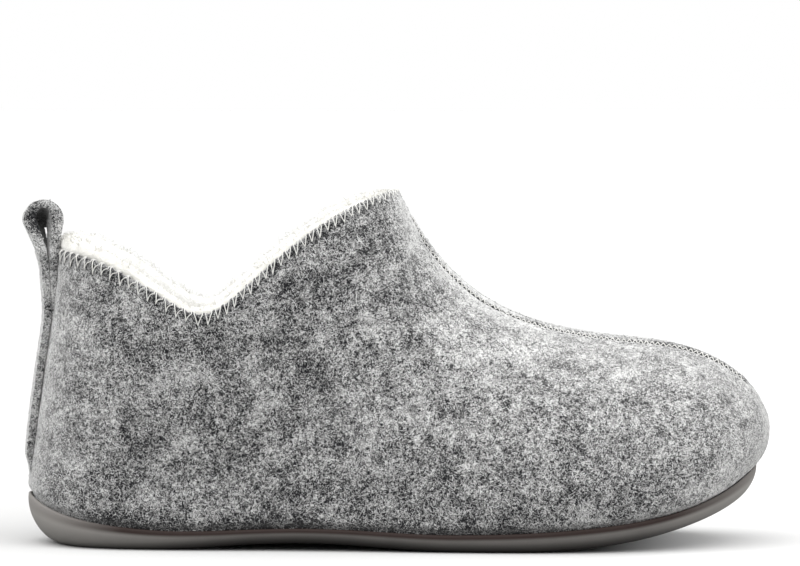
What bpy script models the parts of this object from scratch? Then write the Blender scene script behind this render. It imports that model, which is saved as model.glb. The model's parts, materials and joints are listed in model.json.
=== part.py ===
"""Ankle-high felt slipper boot for the right foot: outsole, felt upper, insole and heel loop.

The toe points to +X, the outer side of the foot is at -Y and +Z is up. The boot stands on z = 0.
All sizes are in millimetres and become metres when a mesh is made.
"""

from collections import namedtuple

import bmesh
import bpy
import numpy as np

MM = 0.001

# Driving sizes of the last, measured on the outside of the felt.
LAST_LENGTH = 267.0  # heel to toe along the feather line, where felt and sole meet
BALL_WIDTH = 97.0  # across the ball, at the feather line
INSTEP_HEIGHT = 131.2  # peak of the collar, in front of the leg
HEEL_HEIGHT = 108.6  # collar at the back seam
ANKLE_HEIGHT = 86.9  # lowest point of the collar, beside the ankle bone
TOE_BOX_HEIGHT = 73.0  # height that the front seam levels out to above the toes
HEEL_END = -134.5  # X of the feather line at the back of the heel
WIDTH_SHIFT = 0.9  # sideways shift that puts the widest points equally far from y = 0

# Collar and front seam.
COLLAR_WIDTH = 75.0
COLLAR_BACK = -125.6  # X of the collar at the back seam
COLLAR_LOW = -71.2  # X of the collar's lowest point
COLLAR_PEAK = 0.2  # X of the collar's peak
COLLAR_EGG = 0.12  # how much rounder the collar is at the heel than at the instep, seen from above
NOTCH_ROUNDING = 10.0  # rounds the V beside the ankle
FRONT_BOW, BACK_BOW = 0.66, 0.80  # how far the two edges of the V bow upwards
INSTEP_FALL = 27.4  # length in which the front seam loses 63 % of its drop
TOE_POLE = 95.0  # X on the front seam where the profiles of the toe fan out
RIDGE_TILT = 9.0  # degrees by which the vamp climbs past the seam towards the inner side

# Thicknesses and gaps.
FELT = 3.2
PILE = 5.6  # the deep fleece inside the felt
WALL = FELT + PILE
GAP = 0.3  # between pieces that meet
INSOLE = 6.0
INSOLE_ROUNDING = 1.5

# Outsole.
SOLE_FLOOR = 4.0  # rubber under the foot
SOLE_LIP = 1.2  # rubber beside the felt at the top of the sole's edge
EDGE_BULGE = 1.2  # how far the sole's edge swells below its lip
EDGE_SHOULDER = 0.45  # where it swells, as a share of the edge's height below the lip
EDGE_TURN = 0.55  # how squarely the edge turns under, as a share of its way from underside to lip
SIDE_TREAD = 5.0  # how far the underside's rim lies inside the feather line along the sides
ARCH_START, ARCH_END, ARCH_RISE = -94.0, 24.0, 2.6
SPRING_START, SPRING_RUN, SPRING_RISE = 30.0, 102.5, 20.7  # start, length and height of the toe's spring
SPRING_POWER = 2.95  # how late the spring climbs

# Heel strap and its loop. Shares are counted up the back seam, from the sole to the collar.
STRAP_WIDTH = 17.0
STRAP_BOTTOM = 0.12  # share where the strap starts
STRAP_SPREAD = 0.72  # share where the outer leg starts to leave the felt
INNER_LEG_END = 0.80  # share where the folded inner leg ends
LOOP_CENTRE_X, LOOP_CENTRE_Z, LOOP_RADIUS = -130.7, 119.2, 5.5
LOOP_START, LOOP_END = 190.0, -10.0  # degrees of the bend, from the outer leg over the top

# How finely the surfaces are cut into faces.
COLUMNS_PER_STATION = 5
ROWS_UP = 12
EDGE_ROWS = 7
STRAP_ROWS, STRAP_COLUMNS = 20, 7
LOOP_ROWS, INNER_LEG_ROWS = 13, 5
STEP = 0.01  # step for directions on the curved surfaces, in stations or shares of a profile

# One row for each profile of the upper, from the back seam to the toe. Each profile is one curve that
# climbs from the feather line to the collar or, in front of the collar's peak, to the front seam.
#   along            place on the feather line, as a share of the last's length from the heel
#   lateral, medial  distance from the centre line on the outer and inner side, as a share of the ball width
#   edge             height of the sole's edge above its underside
#   out, up          start of the profile: how it leans out of the sole and how far it climbs
#   reach, across    end of the profile: its pull along the seam's line and away from the seam
#   lean             angle of the seam's line from straight down, used behind the peak
#   tread            how far the underside's rim lies inside the feather line
Station = namedtuple("Station", "along lateral medial edge out up reach across lean tread")
STATIONS = (
    Station(0.000, 0.000, 0.000, 18.3, 2.0, 22.0, 26.0, 0.0, -1.0, 11.0),  # back seam
    Station(0.047, 0.278, 0.278, 12.4, 3.0, 24.0, 26.0, 1.0, -1.0, 9.5),  # heel
    Station(0.159, 0.380, 0.360, 7.6, 4.0, 26.0, 27.0, 2.0, 0.0, 6.0),  # quarter
    Station(0.294, 0.402, 0.350, 5.85, 4.5, 27.0, 29.0, 5.0, 6.0, 5.0),  # ankle
    Station(0.421, 0.432, 0.340, 5.8, 5.5, 28.0, 27.0, 12.0, 15.0, 5.0),  # waist
    Station(0.534, 0.478, 0.376, 6.35, 7.0, 29.0, 20.0, 22.0, 25.2, 5.0),  # instep
    Station(0.646, 0.511, 0.441, 6.9, 9.5, 28.0, 10.0, 28.0, 0.0, 5.0),  # vamp
    Station(0.758, 0.505, 0.484, 7.65, 11.0, 25.0, 5.0, 31.0, 0.0, 6.0),  # ball
    Station(0.867, 0.435, 0.468, 7.0, 13.0, 21.0, 12.0, 31.0, 0.0, 7.0),  # side of the toe
    Station(0.953, 0.280, 0.323, 7.2, 15.0, 18.0, 24.0, 23.0, 0.0, 10.0),  # corner of the toe
    Station(1.000, -0.032, 0.032, 9.25, 15.7, 16.3, 31.5, 0.0, 0.0, 13.0),  # toe
)
PEAK = 5  # the station at the collar's peak
TOE = len(STATIONS) - 1
LOOP = 2 * TOE  # stations once round the boot

FELT_GREY = (0.23, 0.23, 0.235)
SOLE_GREY = (0.14, 0.135, 0.13)
FLEECE_CREAM = (0.83, 0.80, 0.74)
CLOTH_ROUGHNESS, RUBBER_ROUGHNESS = 0.95, 0.55
SHARP_ANGLE = 40.0  # degrees between faces above which an edge stays sharp


def round_the_boot(outer, inner):
    """Values for the stations once round the boot: back seam, outer side, toe, inner side."""
    return np.array(list(outer) + list(inner[-2:0:-1]))


def column(name):
    """A column of the table, the same on both sides, once round the boot."""
    values = [getattr(station, name) for station in STATIONS]
    return round_the_boot(values, values)


def ring_spline(knots, where):
    """Smooth closed curve through equally spaced knots, read at places counted in knots."""
    count = len(knots)
    matrix = 4.0 * np.eye(count) + np.roll(np.eye(count), 1, axis=1) + np.roll(np.eye(count), -1, axis=1)
    slopes = np.linalg.solve(matrix, 3.0 * (np.roll(knots, -1, axis=0) - np.roll(knots, 1, axis=0)))
    cell = np.floor(where).astype(int)
    share = (where - cell).reshape((-1,) + (1,) * (knots.ndim - 1))
    here, there = cell % count, (cell + 1) % count
    step = knots[there] - knots[here]
    bend = (slopes[here] - step) * (1 - share) - (slopes[there] - step) * share
    return knots[here] + share * step + share * (1 - share) * bend


def bezier(start, pull, push, end, t):
    """Point at share t of the curve that leaves start towards pull and reaches end from push."""
    return (1 - t) ** 3 * start + 3 * (1 - t) ** 2 * t * pull + 3 * (1 - t) * t**2 * push + t**3 * end


def side_of(where):
    """-1 on the outer side of the foot and 1 on the inner side, and the station counted from the heel."""
    turn = np.mod(where, LOOP)
    return np.where(turn <= TOE, -1.0, 1.0), np.minimum(turn, LOOP - turn)


def tread_height(x):
    """Height of the sole's underside: flat heel and forefoot, a low arch and a toe that springs up."""
    share = np.clip((x - ARCH_START) / (ARCH_END - ARCH_START), 0, 1)
    arch = ARCH_RISE * np.sin(np.pi * share) ** 2
    past = np.clip((x - SPRING_START) / SPRING_RUN, 0, None)
    return arch + SPRING_RISE * past**SPRING_POWER


def feather_line(where):
    """Points where the felt leaves the sole, and the direction that points out of the boot there."""
    along = HEEL_END + LAST_LENGTH * column("along")
    lateral = [-BALL_WIDTH * station.lateral for station in STATIONS]
    medial = [BALL_WIDTH * station.medial for station in STATIONS]
    plan = np.stack([along, WIDTH_SHIFT + round_the_boot(lateral, medial)], axis=1)
    at = ring_spline(plan, where)
    ahead = ring_spline(plan, where + STEP) - ring_spline(plan, where - STEP)
    ahead /= np.linalg.norm(ahead, axis=1, keepdims=True)
    height = tread_height(at[:, 0]) + ring_spline(column("edge"), where)
    return np.column_stack([at, height]), np.column_stack([ahead[:, 1], -ahead[:, 0], np.zeros(len(where))])


def collar_height(x):
    """Side view of the collar: a rounded V that is lowest beside the ankle."""

    def edge(end, height, bow):
        run = np.hypot(x - COLLAR_LOW, NOTCH_ROUNDING) - NOTCH_ROUNDING
        share = run / (np.hypot(end - COLLAR_LOW, NOTCH_ROUNDING) - NOTCH_ROUNDING)
        return ANKLE_HEIGHT + (height - ANKLE_HEIGHT) * share * (1 + bow * (1 - share))

    front = edge(COLLAR_PEAK, INSTEP_HEIGHT, FRONT_BOW)
    return np.where(x > COLLAR_LOW, front, edge(COLLAR_BACK, HEEL_HEIGHT, BACK_BOW))


def top_line(where):
    """Points of the collar and the front seam, with the angle of the seam's line from straight down."""
    side, station = side_of(where)
    turn = np.pi * np.clip(station / PEAK, 0, 1)
    collar_x = (COLLAR_BACK + COLLAR_PEAK) / 2 - (COLLAR_PEAK - COLLAR_BACK) / 2 * np.cos(turn)
    collar_y = side * COLLAR_WIDTH / 2 * np.sin(turn) * (1 + COLLAR_EGG * np.cos(turn))
    share = np.clip((station - PEAK) / (TOE - PEAK), 0, 1)
    seam_x = COLLAR_PEAK + (TOE_POLE - COLLAR_PEAK) * np.sin(np.pi / 2 * share)
    drop = (INSTEP_HEIGHT - TOE_BOX_HEIGHT) * np.exp(-(seam_x - COLLAR_PEAK) / INSTEP_FALL)
    collar = np.column_stack([collar_x, collar_y, collar_height(collar_x)])
    seam = np.column_stack([seam_x, np.zeros(len(seam_x)), TOE_BOX_HEIGHT + drop])
    on_collar = station <= PEAK
    collar_lean = np.radians(ring_spline(column("lean"), where))
    lean = np.where(on_collar, collar_lean, np.arctan2(INSTEP_FALL, drop))
    return np.where(on_collar[:, None], collar, seam), lean


def upper_surface(where, climb):
    """Points of the felt's outer face. where counts stations round the boot, climb runs from 0 at the
    feather line to 1 at the collar or the front seam. Both are arrays of the same length."""
    side, station = side_of(where)
    foot, outward = feather_line(where)
    top, lean = top_line(where)
    low = foot + outward * ring_spline(column("out"), where)[:, None]
    low[:, 2] += ring_spline(column("up"), where)
    seam_line = np.column_stack([np.sin(lean), np.zeros(len(lean)), -np.cos(lean)])
    sideways = np.clip(station / 2, 0, 1) * np.pi / 2
    tilt = np.radians(RIDGE_TILT) * np.clip((station - PEAK) / 2, 0, 1)
    away = np.column_stack([-np.cos(sideways), side * np.sin(sideways) * np.cos(tilt), side * np.sin(tilt)])
    reach, across = (ring_spline(column(name), where)[:, None] for name in ("reach", "across"))
    return bezier(foot, low, top + seam_line * reach + away * across, top, climb[:, None])


def outward_normal(where, climb):
    """Directions that point out of the felt's outer face."""
    high, low = np.minimum(climb + STEP, 1), np.maximum(climb - STEP, 0)
    round_it = upper_surface(where + STEP, climb) - upper_surface(where - STEP, climb)
    up_it = upper_surface(where, high) - upper_surface(where, low)
    normal = np.cross(round_it, up_it)
    return normal / np.linalg.norm(normal, axis=1, keepdims=True)


def ring_places():
    """Places once round the boot, with one on each station."""
    return np.arange(LOOP * COLUMNS_PER_STATION) / COLUMNS_PER_STATION


def floor_ring(where, inset, lift):
    """A ring inside the foot of the felt, lying above the sole's floor. At heel and toe the felt tucks in."""
    foot, outward = feather_line(where)
    tuck = np.maximum(ring_spline(column("tread"), where)[:, None] - SIDE_TREAD, 0)
    ring = foot - outward * (inset + tuck)
    ring[:, 2] = tread_height(ring[:, 0]) + SOLE_FLOOR + lift
    return ring


def material(name, colour, roughness):
    made = bpy.data.materials.new(name)
    made.use_nodes = True
    shader = made.node_tree.nodes["Principled BSDF"]
    shader.inputs["Base Color"].default_value = (*colour, 1.0)
    shader.inputs["Roughness"].default_value = roughness
    shader.inputs["Metallic"].default_value = 0.0
    return made


def add_object(name, mesh_tools, finish):
    """Turns a bmesh in millimetres into a smooth-shaded object in metres."""
    bmesh.ops.scale(mesh_tools, vec=(MM, MM, MM), verts=mesh_tools.verts)
    bmesh.ops.recalc_face_normals(mesh_tools, faces=mesh_tools.faces)
    mesh = bpy.data.meshes.new(name)
    mesh_tools.to_mesh(mesh)
    mesh_tools.free()
    mesh.shade_smooth()
    mesh.set_sharp_from_angle(angle=np.radians(SHARP_ANGLE))
    mesh.materials.append(finish)
    piece = bpy.data.objects.new(name, mesh)
    bpy.context.scene.collection.objects.link(piece)
    return piece


def thicken(piece, thickness, offset):
    """Gives a sheet its thickness: offset -1 grows inwards from the sheet, 0 to both sides."""
    wall = piece.modifiers.new("wall", "SOLIDIFY")
    wall.thickness = thickness * MM
    wall.offset = offset
    wall.use_even_offset = True
    wall.use_quality_normals = True


def join_rows(mesh_tools, rows, closed):
    """Rows of points, each joined to the next by faces. A closed row is a ring. Returns the vertices."""
    made = [[mesh_tools.verts.new(point) for point in row] for row in rows]
    count = len(rows[0])
    for lower, upper in zip(made, made[1:]):
        for i in range(count if closed else count - 1):
            j = (i + 1) % count
            mesh_tools.faces.new((lower[i], lower[j], upper[j], upper[i]))
    return made


def cap_across(mesh_tools, ring):
    """Closes a ring with strips from its outer side to its inner side."""
    count = len(ring)
    for i in range(count // 2):
        corners = [ring[i], ring[i + 1], ring[(count - i - 1) % count], ring[(count - i) % count]]
        mesh_tools.faces.new(list(dict.fromkeys(corners)))


def add_outsole():
    """Moulded rubber sole: rounded edge, lip round the felt, and a shallow tray that the upper stands in."""
    where = ring_places()
    foot, outward = feather_line(where)
    under = foot - outward * ring_spline(column("tread"), where)[:, None]
    under[:, 2] = tread_height(under[:, 0])
    lip = foot + outward * (GAP + SOLE_LIP)
    shoulder = lip + outward * EDGE_BULGE
    shoulder[:, 2] -= EDGE_SHOULDER * (foot[:, 2] - under[:, 2])
    turn = EDGE_TURN * lip + (1 - EDGE_TURN) * under
    turn[:, 2] = under[:, 2]
    edge = [bezier(under, turn, shoulder, lip, t) for t in np.linspace(0, 1, EDGE_ROWS)]
    tray = [foot + outward * GAP, floor_ring(where, -GAP, 0.0)]
    mesh_tools = bmesh.new()
    rings = join_rows(mesh_tools, edge + tray, closed=True)
    cap_across(mesh_tools, rings[0])
    cap_across(mesh_tools, rings[-1])
    add_object("outsole", mesh_tools, material("sole_rubber", SOLE_GREY, RUBBER_ROUGHNESS))


def add_upper():
    """Felt upper with its fleece: one wall, open at the collar and underneath, closed along the front seam."""
    where = ring_places()
    rows = [floor_ring(where, 0.0, GAP)]
    for climb in np.linspace(0, 1, ROWS_UP + 1):
        rows.append(upper_surface(where, np.full(len(where), climb)))
    mesh_tools = bmesh.new()
    join_rows(mesh_tools, rows, closed=True)
    bmesh.ops.remove_doubles(mesh_tools, verts=mesh_tools.verts, dist=STEP)
    upper = add_object("upper", mesh_tools, material("grey_felt", FELT_GREY, CLOTH_ROUGHNESS))
    thicken(upper, WALL, -1)


def add_insole():
    """Fleece-covered footbed that lies on the sole's floor inside the upper."""
    where = ring_places()
    clear = WALL + 2 * GAP
    rings = [
        floor_ring(where, clear, GAP),
        floor_ring(where, clear, GAP + INSOLE - INSOLE_ROUNDING),
        floor_ring(where, clear + INSOLE_ROUNDING, GAP + INSOLE),
    ]
    mesh_tools = bmesh.new()
    made = join_rows(mesh_tools, rings, closed=True)
    cap_across(mesh_tools, made[0])
    cap_across(mesh_tools, made[-1])
    add_object("insole", mesh_tools, material("fleece", FLEECE_CREAM, CLOTH_ROUGHNESS))


def strap_line(share, sideways, lift):
    """Points across the heel strap, lifted off the felt, at a share of the back seam's climb."""
    climb = np.full(len(sideways), share)
    pair = upper_surface(np.array([-STEP, STEP]), np.array([share, share]))
    where = -sideways * 2 * STEP / (pair[0, 1] - pair[1, 1])
    return upper_surface(where, climb) + outward_normal(where, climb) * lift


def add_heel_loop():
    """Felt strap up the back seam, folded into a loop above the collar with its end tucked under."""
    sideways = np.linspace(-STRAP_WIDTH / 2, STRAP_WIDTH / 2, STRAP_COLUMNS)
    on_felt = GAP + FELT / 2
    lines = []
    for share in np.linspace(STRAP_BOTTOM, 1.0, STRAP_ROWS):
        spread = np.clip((share - STRAP_SPREAD) / (INNER_LEG_END - STRAP_SPREAD), 0, 1)
        over_inner_leg = (FELT + GAP) * spread**2 * (3 - 2 * spread)
        lines.append(strap_line(share, sideways, on_felt + over_inner_leg))
    collar = strap_line(1.0, sideways, 0.0)
    bend_line = collar - collar[STRAP_COLUMNS // 2] + np.array([LOOP_CENTRE_X, 0.0, LOOP_CENTRE_Z])
    for angle in np.radians(np.linspace(LOOP_START, LOOP_END, LOOP_ROWS)):
        lines.append(bend_line + LOOP_RADIUS * np.array([np.cos(angle), 0.0, np.sin(angle)]))
    for share in np.linspace(1.0, INNER_LEG_END, INNER_LEG_ROWS):
        lines.append(strap_line(share, sideways, on_felt))
    mesh_tools = bmesh.new()
    join_rows(mesh_tools, lines, closed=False)
    strap = add_object("heel_loop", mesh_tools, material("strap_felt", FELT_GREY, CLOTH_ROUGHNESS))
    thicken(strap, FELT, 0)


def main():
    for old in list(bpy.data.objects):
        bpy.data.objects.remove(old)
    add_outsole()
    add_upper()
    add_insole()
    add_heel_loop()


main()
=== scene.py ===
"""Looks of an ankle-high felt slipper boot: felt with its nap, fleece, stitches, heel loop, sole and stage.

The toe points to +X, the outer side of the foot is at -Y and +Z is up. The shape functions work in
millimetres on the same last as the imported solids, and every mesh is made in metres.
"""

import json
from collections import namedtuple

import bmesh
import bpy
import numpy as np
from bpy.props import FloatProperty, FloatVectorProperty, IntProperty, PointerProperty
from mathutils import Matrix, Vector, noise
from mathutils.bvhtree import BVHTree
from mathutils.kdtree import KDTree

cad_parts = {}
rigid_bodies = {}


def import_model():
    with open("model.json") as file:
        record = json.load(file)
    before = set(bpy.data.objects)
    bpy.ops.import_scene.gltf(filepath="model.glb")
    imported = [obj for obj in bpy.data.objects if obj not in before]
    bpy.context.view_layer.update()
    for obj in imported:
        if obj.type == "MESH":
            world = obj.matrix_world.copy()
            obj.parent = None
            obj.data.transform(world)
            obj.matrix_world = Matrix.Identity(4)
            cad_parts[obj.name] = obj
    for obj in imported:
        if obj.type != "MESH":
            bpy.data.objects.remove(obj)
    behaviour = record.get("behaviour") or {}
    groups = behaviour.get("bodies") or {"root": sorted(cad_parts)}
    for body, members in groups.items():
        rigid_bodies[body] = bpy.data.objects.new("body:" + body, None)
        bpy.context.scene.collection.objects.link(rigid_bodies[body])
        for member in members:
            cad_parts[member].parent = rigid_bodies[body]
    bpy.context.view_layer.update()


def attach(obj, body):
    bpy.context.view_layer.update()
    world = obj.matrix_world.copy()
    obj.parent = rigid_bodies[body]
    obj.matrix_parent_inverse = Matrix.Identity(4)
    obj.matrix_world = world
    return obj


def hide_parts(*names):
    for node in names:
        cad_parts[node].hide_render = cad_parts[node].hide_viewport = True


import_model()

bl_info = {
    "name": "Felt slipper boot",
    "version": (1, 0, 0),
    "blender": (4, 5, 0),
    "location": "3D View > Sidebar > Slipper",
    "description": "Builds the visible pieces of a felt slipper boot around its packed solids",
    "category": "Add Mesh",
}

MM = 0.001
BODY = "root"

# Driving sizes of the last, measured on the outside of the felt, as in the solids.
LAST_LENGTH = 267.0  # heel to toe along the feather line, where felt and sole meet
BALL_WIDTH = 97.0  # across the ball, at the feather line
INSTEP_HEIGHT = 131.2  # peak of the collar, in front of the leg
HEEL_HEIGHT = 108.6  # collar at the back seam
ANKLE_HEIGHT = 86.9  # lowest point of the collar, beside the ankle bone
TOE_BOX_HEIGHT = 73.0  # height that the front seam levels out to above the toes
HEEL_END = -134.5  # X of the feather line at the back of the heel
WIDTH_SHIFT = 0.9  # sideways shift that puts the widest points equally far from y = 0

# Collar and front seam.
COLLAR_WIDTH = 75.0
COLLAR_BACK = -125.6  # X of the collar at the back seam
COLLAR_LOW = -71.2  # X of the collar's lowest point
COLLAR_PEAK = 0.2  # X of the collar's peak
COLLAR_EGG = 0.12  # how much rounder the collar is at the heel than at the instep, seen from above
NOTCH_ROUNDING = 10.0  # rounds the V beside the ankle
FRONT_BOW, BACK_BOW = 0.66, 0.80  # how far the two edges of the V bow upwards
INSTEP_FALL = 27.4  # length in which the front seam loses 63 % of its drop
TOE_POLE = 95.0  # X on the front seam where the profiles of the toe fan out
RIDGE_TILT = 9.0  # degrees by which the vamp climbs past the seam towards the inner side
SEAM_END = 0.55  # climb on the toe's profile where the front seam ends
SEAM_BLEND = 4.0  # width beside the seam in which the directions of both sides are blended
SEAM_SHIFT, SEAM_SHIFT_RUN = 7.2, 30.0  # the seam moves this far to the outer side in this length
SEAM_BACK, SEAM_BACK_START, SEAM_BACK_RUN = 2.8, 50.0, 40.0  # and over the vamp this far back to the ridge
SEAM_PLAIN = 12.0  # first stretch of the seam, sewn out of sight
SEAM_DEPTH, SEAM_WIDTH = 1.0, 0.9  # trench that the front seam's stitches pull into the felt
SHOULDER, SHOULDER_WIDTH = 0.4, 2.4  # soft ridges that the felt raises beside it
RIDGE_PAINTED_LIGHT, RIDGE_WIDTH = 0.38, 14.0  # painted light: the wool is painted paler along the ridge where the top catches the light, in this width beside it
RIDGE_LAST, RIDGE_FADE = 6.0, 2.0  # up to this station, and the stations in which that fades
SEAM_POINTS, TOE_SEAM_POINTS = 200, 80  # points along the front seam, and on its way down the toe

# Thicknesses and gaps.
FELT = 3.2
PILE = 5.6  # the deep fleece inside the felt
WALL = FELT + PILE
GAP = 0.3  # between pieces that meet
INSOLE = 6.0
INSOLE_ROUNDING = 1.5

# Outsole.
SOLE_FLOOR = 4.0  # rubber under the foot
SOLE_LIP = 1.2  # rubber beside the felt at the top of the sole's edge
EDGE_BULGE = 1.2  # how far the sole's edge swells below its lip
EDGE_SHOULDER = 0.45  # where it swells, as a share of the edge's height below the lip
EDGE_TURN = 0.55  # how squarely the edge turns under, as a share of its way from underside to lip
SIDE_TREAD = 5.0  # how far the underside's rim lies inside the feather line along the sides
ARCH_START, ARCH_END, ARCH_RISE = -94.0, 24.0, 2.6
SPRING_START, SPRING_RUN, SPRING_RISE = 30.0, 102.5, 20.7  # start, length and height of the toe's spring
SPRING_POWER = 2.95  # how late the spring climbs

# Heel strap and its loop. Shares are counted up the back seam, from the sole to the collar.
STRAP_WIDTH = 17.0
STRAP_BOTTOM = 0.12  # share where the strap starts
INNER_LEG_END = 0.93  # share below which the folded inner leg sinks into the felt
LOOP_CENTRE_X, LOOP_CENTRE_Z, LOOP_OUTER_RADIUS = -131.1, 119.9, 7.4
LOOP_START, LOOP_END = 190.0, -10.0  # degrees of the bend, from the outer leg over the top

STEP = 0.01  # step for directions on the curved surfaces, in stations or shares of a profile
LUMP_SHIFT = (17.3, 5.9, 11.7)  # moves the lumps of each seed to places of their own
FINE_LUMPS = 0.5  # height of the fine lumps beside that of the coarse ones

# One row for each profile of the upper, from the back seam to the toe. Each profile is one curve that
# climbs from the feather line to the collar or, in front of the collar's peak, to the front seam.
#   along            place on the feather line, as a share of the last's length from the heel
#   lateral, medial  distance from the centre line on the outer and inner side, as a share of the ball width
#   edge             height of the sole's edge above its underside
#   out, up          start of the profile: how it leans out of the sole and how far it climbs
#   reach, across    end of the profile: its pull along the seam's line and away from the seam
#   lean             angle of the seam's line from straight down, used behind the peak
#   tread            how far the underside's rim lies inside the feather line
Station = namedtuple("Station", "along lateral medial edge out up reach across lean tread")
STATIONS = (
    Station(0.000, 0.000, 0.000, 18.3, 2.0, 22.0, 26.0, 0.0, -1.0, 11.0),  # back seam
    Station(0.047, 0.278, 0.278, 12.4, 3.0, 24.0, 26.0, 1.0, -1.0, 9.5),  # heel
    Station(0.159, 0.380, 0.360, 7.6, 4.0, 26.0, 27.0, 2.0, 0.0, 6.0),  # quarter
    Station(0.294, 0.402, 0.350, 5.85, 4.5, 27.0, 29.0, 5.0, 6.0, 5.0),  # ankle
    Station(0.421, 0.432, 0.340, 5.8, 5.5, 28.0, 27.0, 12.0, 15.0, 5.0),  # waist
    Station(0.534, 0.478, 0.376, 6.35, 7.0, 29.0, 20.0, 22.0, 25.2, 5.0),  # instep
    Station(0.646, 0.511, 0.441, 6.9, 9.5, 28.0, 10.0, 28.0, 0.0, 5.0),  # vamp
    Station(0.758, 0.505, 0.484, 7.65, 11.0, 25.0, 5.0, 31.0, 0.0, 6.0),  # ball
    Station(0.867, 0.435, 0.468, 7.0, 13.0, 21.0, 12.0, 31.0, 0.0, 7.0),  # side of the toe
    Station(0.953, 0.280, 0.323, 7.2, 15.0, 18.0, 24.0, 23.0, 0.0, 10.0),  # corner of the toe
    Station(1.000, -0.032, 0.032, 9.25, 15.7, 16.3, 31.5, 0.0, 0.0, 13.0),  # toe
)
PEAK = 5  # the station at the collar's peak
TOE = len(STATIONS) - 1
LOOP = 2 * TOE  # stations once round the boot


# Shape of the last


def round_the_boot(outer, inner):
    """Values for the stations once round the boot: back seam, outer side, toe, inner side."""
    return np.array(list(outer) + list(inner[-2:0:-1]))


def column(name):
    """A column of the table, the same on both sides, once round the boot."""
    values = [getattr(station, name) for station in STATIONS]
    return round_the_boot(values, values)


def ring_spline(knots, where):
    """Smooth closed curve through equally spaced knots, read at places counted in knots."""
    count = len(knots)
    matrix = 4.0 * np.eye(count) + np.roll(np.eye(count), 1, axis=1) + np.roll(np.eye(count), -1, axis=1)
    slopes = np.linalg.solve(matrix, 3.0 * (np.roll(knots, -1, axis=0) - np.roll(knots, 1, axis=0)))
    cell = np.floor(where).astype(int)
    share = (where - cell).reshape((-1,) + (1,) * (knots.ndim - 1))
    here, there = cell % count, (cell + 1) % count
    step = knots[there] - knots[here]
    bend = (slopes[here] - step) * (1 - share) - (slopes[there] - step) * share
    return knots[here] + share * step + share * (1 - share) * bend


def bezier(start, pull, push, end, t):
    """Point at share t of the curve that leaves start towards pull and reaches end from push."""
    return (1 - t) ** 3 * start + 3 * (1 - t) ** 2 * t * pull + 3 * (1 - t) * t**2 * push + t**3 * end


def smooth_step(share):
    """0 up to share 0 and 1 from share 1 on, with a soft climb between."""
    held = np.clip(share, 0, 1)
    return held * held * (3 - 2 * held)


def unit(vectors):
    return vectors / np.linalg.norm(vectors, axis=-1, keepdims=True)


def side_of(where):
    """-1 on the outer side of the foot and 1 on the inner side, and the station counted from the heel."""
    turn = np.mod(where, LOOP)
    return np.where(turn <= TOE, -1.0, 1.0), np.minimum(turn, LOOP - turn)


def tread_height(x):
    """Height of the sole's underside: flat heel and forefoot, a low arch and a toe that springs up."""
    share = np.clip((x - ARCH_START) / (ARCH_END - ARCH_START), 0, 1)
    arch = ARCH_RISE * np.sin(np.pi * share) ** 2
    past = np.clip((x - SPRING_START) / SPRING_RUN, 0, None)
    return arch + SPRING_RISE * past**SPRING_POWER


def feather_line(where):
    """Points where the felt leaves the sole, and the direction that points out of the boot there."""
    along = HEEL_END + LAST_LENGTH * column("along")
    lateral = [-BALL_WIDTH * station.lateral for station in STATIONS]
    medial = [BALL_WIDTH * station.medial for station in STATIONS]
    plan = np.stack([along, WIDTH_SHIFT + round_the_boot(lateral, medial)], axis=1)
    at = ring_spline(plan, where)
    ahead = unit(ring_spline(plan, where + STEP) - ring_spline(plan, where - STEP))
    height = tread_height(at[:, 0]) + ring_spline(column("edge"), where)
    return np.column_stack([at, height]), np.column_stack([ahead[:, 1], -ahead[:, 0], np.zeros(len(where))])


def collar_height(x):
    """Side view of the collar: a rounded V that is lowest beside the ankle."""

    def edge(end, height, bow):
        run = np.hypot(x - COLLAR_LOW, NOTCH_ROUNDING) - NOTCH_ROUNDING
        share = run / (np.hypot(end - COLLAR_LOW, NOTCH_ROUNDING) - NOTCH_ROUNDING)
        return ANKLE_HEIGHT + (height - ANKLE_HEIGHT) * share * (1 + bow * (1 - share))

    front = edge(COLLAR_PEAK, INSTEP_HEIGHT, FRONT_BOW)
    return np.where(x > COLLAR_LOW, front, edge(COLLAR_BACK, HEEL_HEIGHT, BACK_BOW))


def top_line(where):
    """Points of the collar and the front seam, with the angle of the seam's line from straight down."""
    side, station = side_of(where)
    turn = np.pi * np.clip(station / PEAK, 0, 1)
    collar_x = (COLLAR_BACK + COLLAR_PEAK) / 2 - (COLLAR_PEAK - COLLAR_BACK) / 2 * np.cos(turn)
    collar_y = side * COLLAR_WIDTH / 2 * np.sin(turn) * (1 + COLLAR_EGG * np.cos(turn))
    share = np.clip((station - PEAK) / (TOE - PEAK), 0, 1)
    seam_x = COLLAR_PEAK + (TOE_POLE - COLLAR_PEAK) * np.sin(np.pi / 2 * share)
    drop = (INSTEP_HEIGHT - TOE_BOX_HEIGHT) * np.exp(-(seam_x - COLLAR_PEAK) / INSTEP_FALL)
    collar = np.column_stack([collar_x, collar_y, collar_height(collar_x)])
    seam = np.column_stack([seam_x, np.zeros(len(seam_x)), TOE_BOX_HEIGHT + drop])
    on_collar = station <= PEAK
    collar_lean = np.radians(ring_spline(column("lean"), where))
    lean = np.where(on_collar, collar_lean, np.arctan2(INSTEP_FALL, drop))
    return np.where(on_collar[:, None], collar, seam), lean


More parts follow.
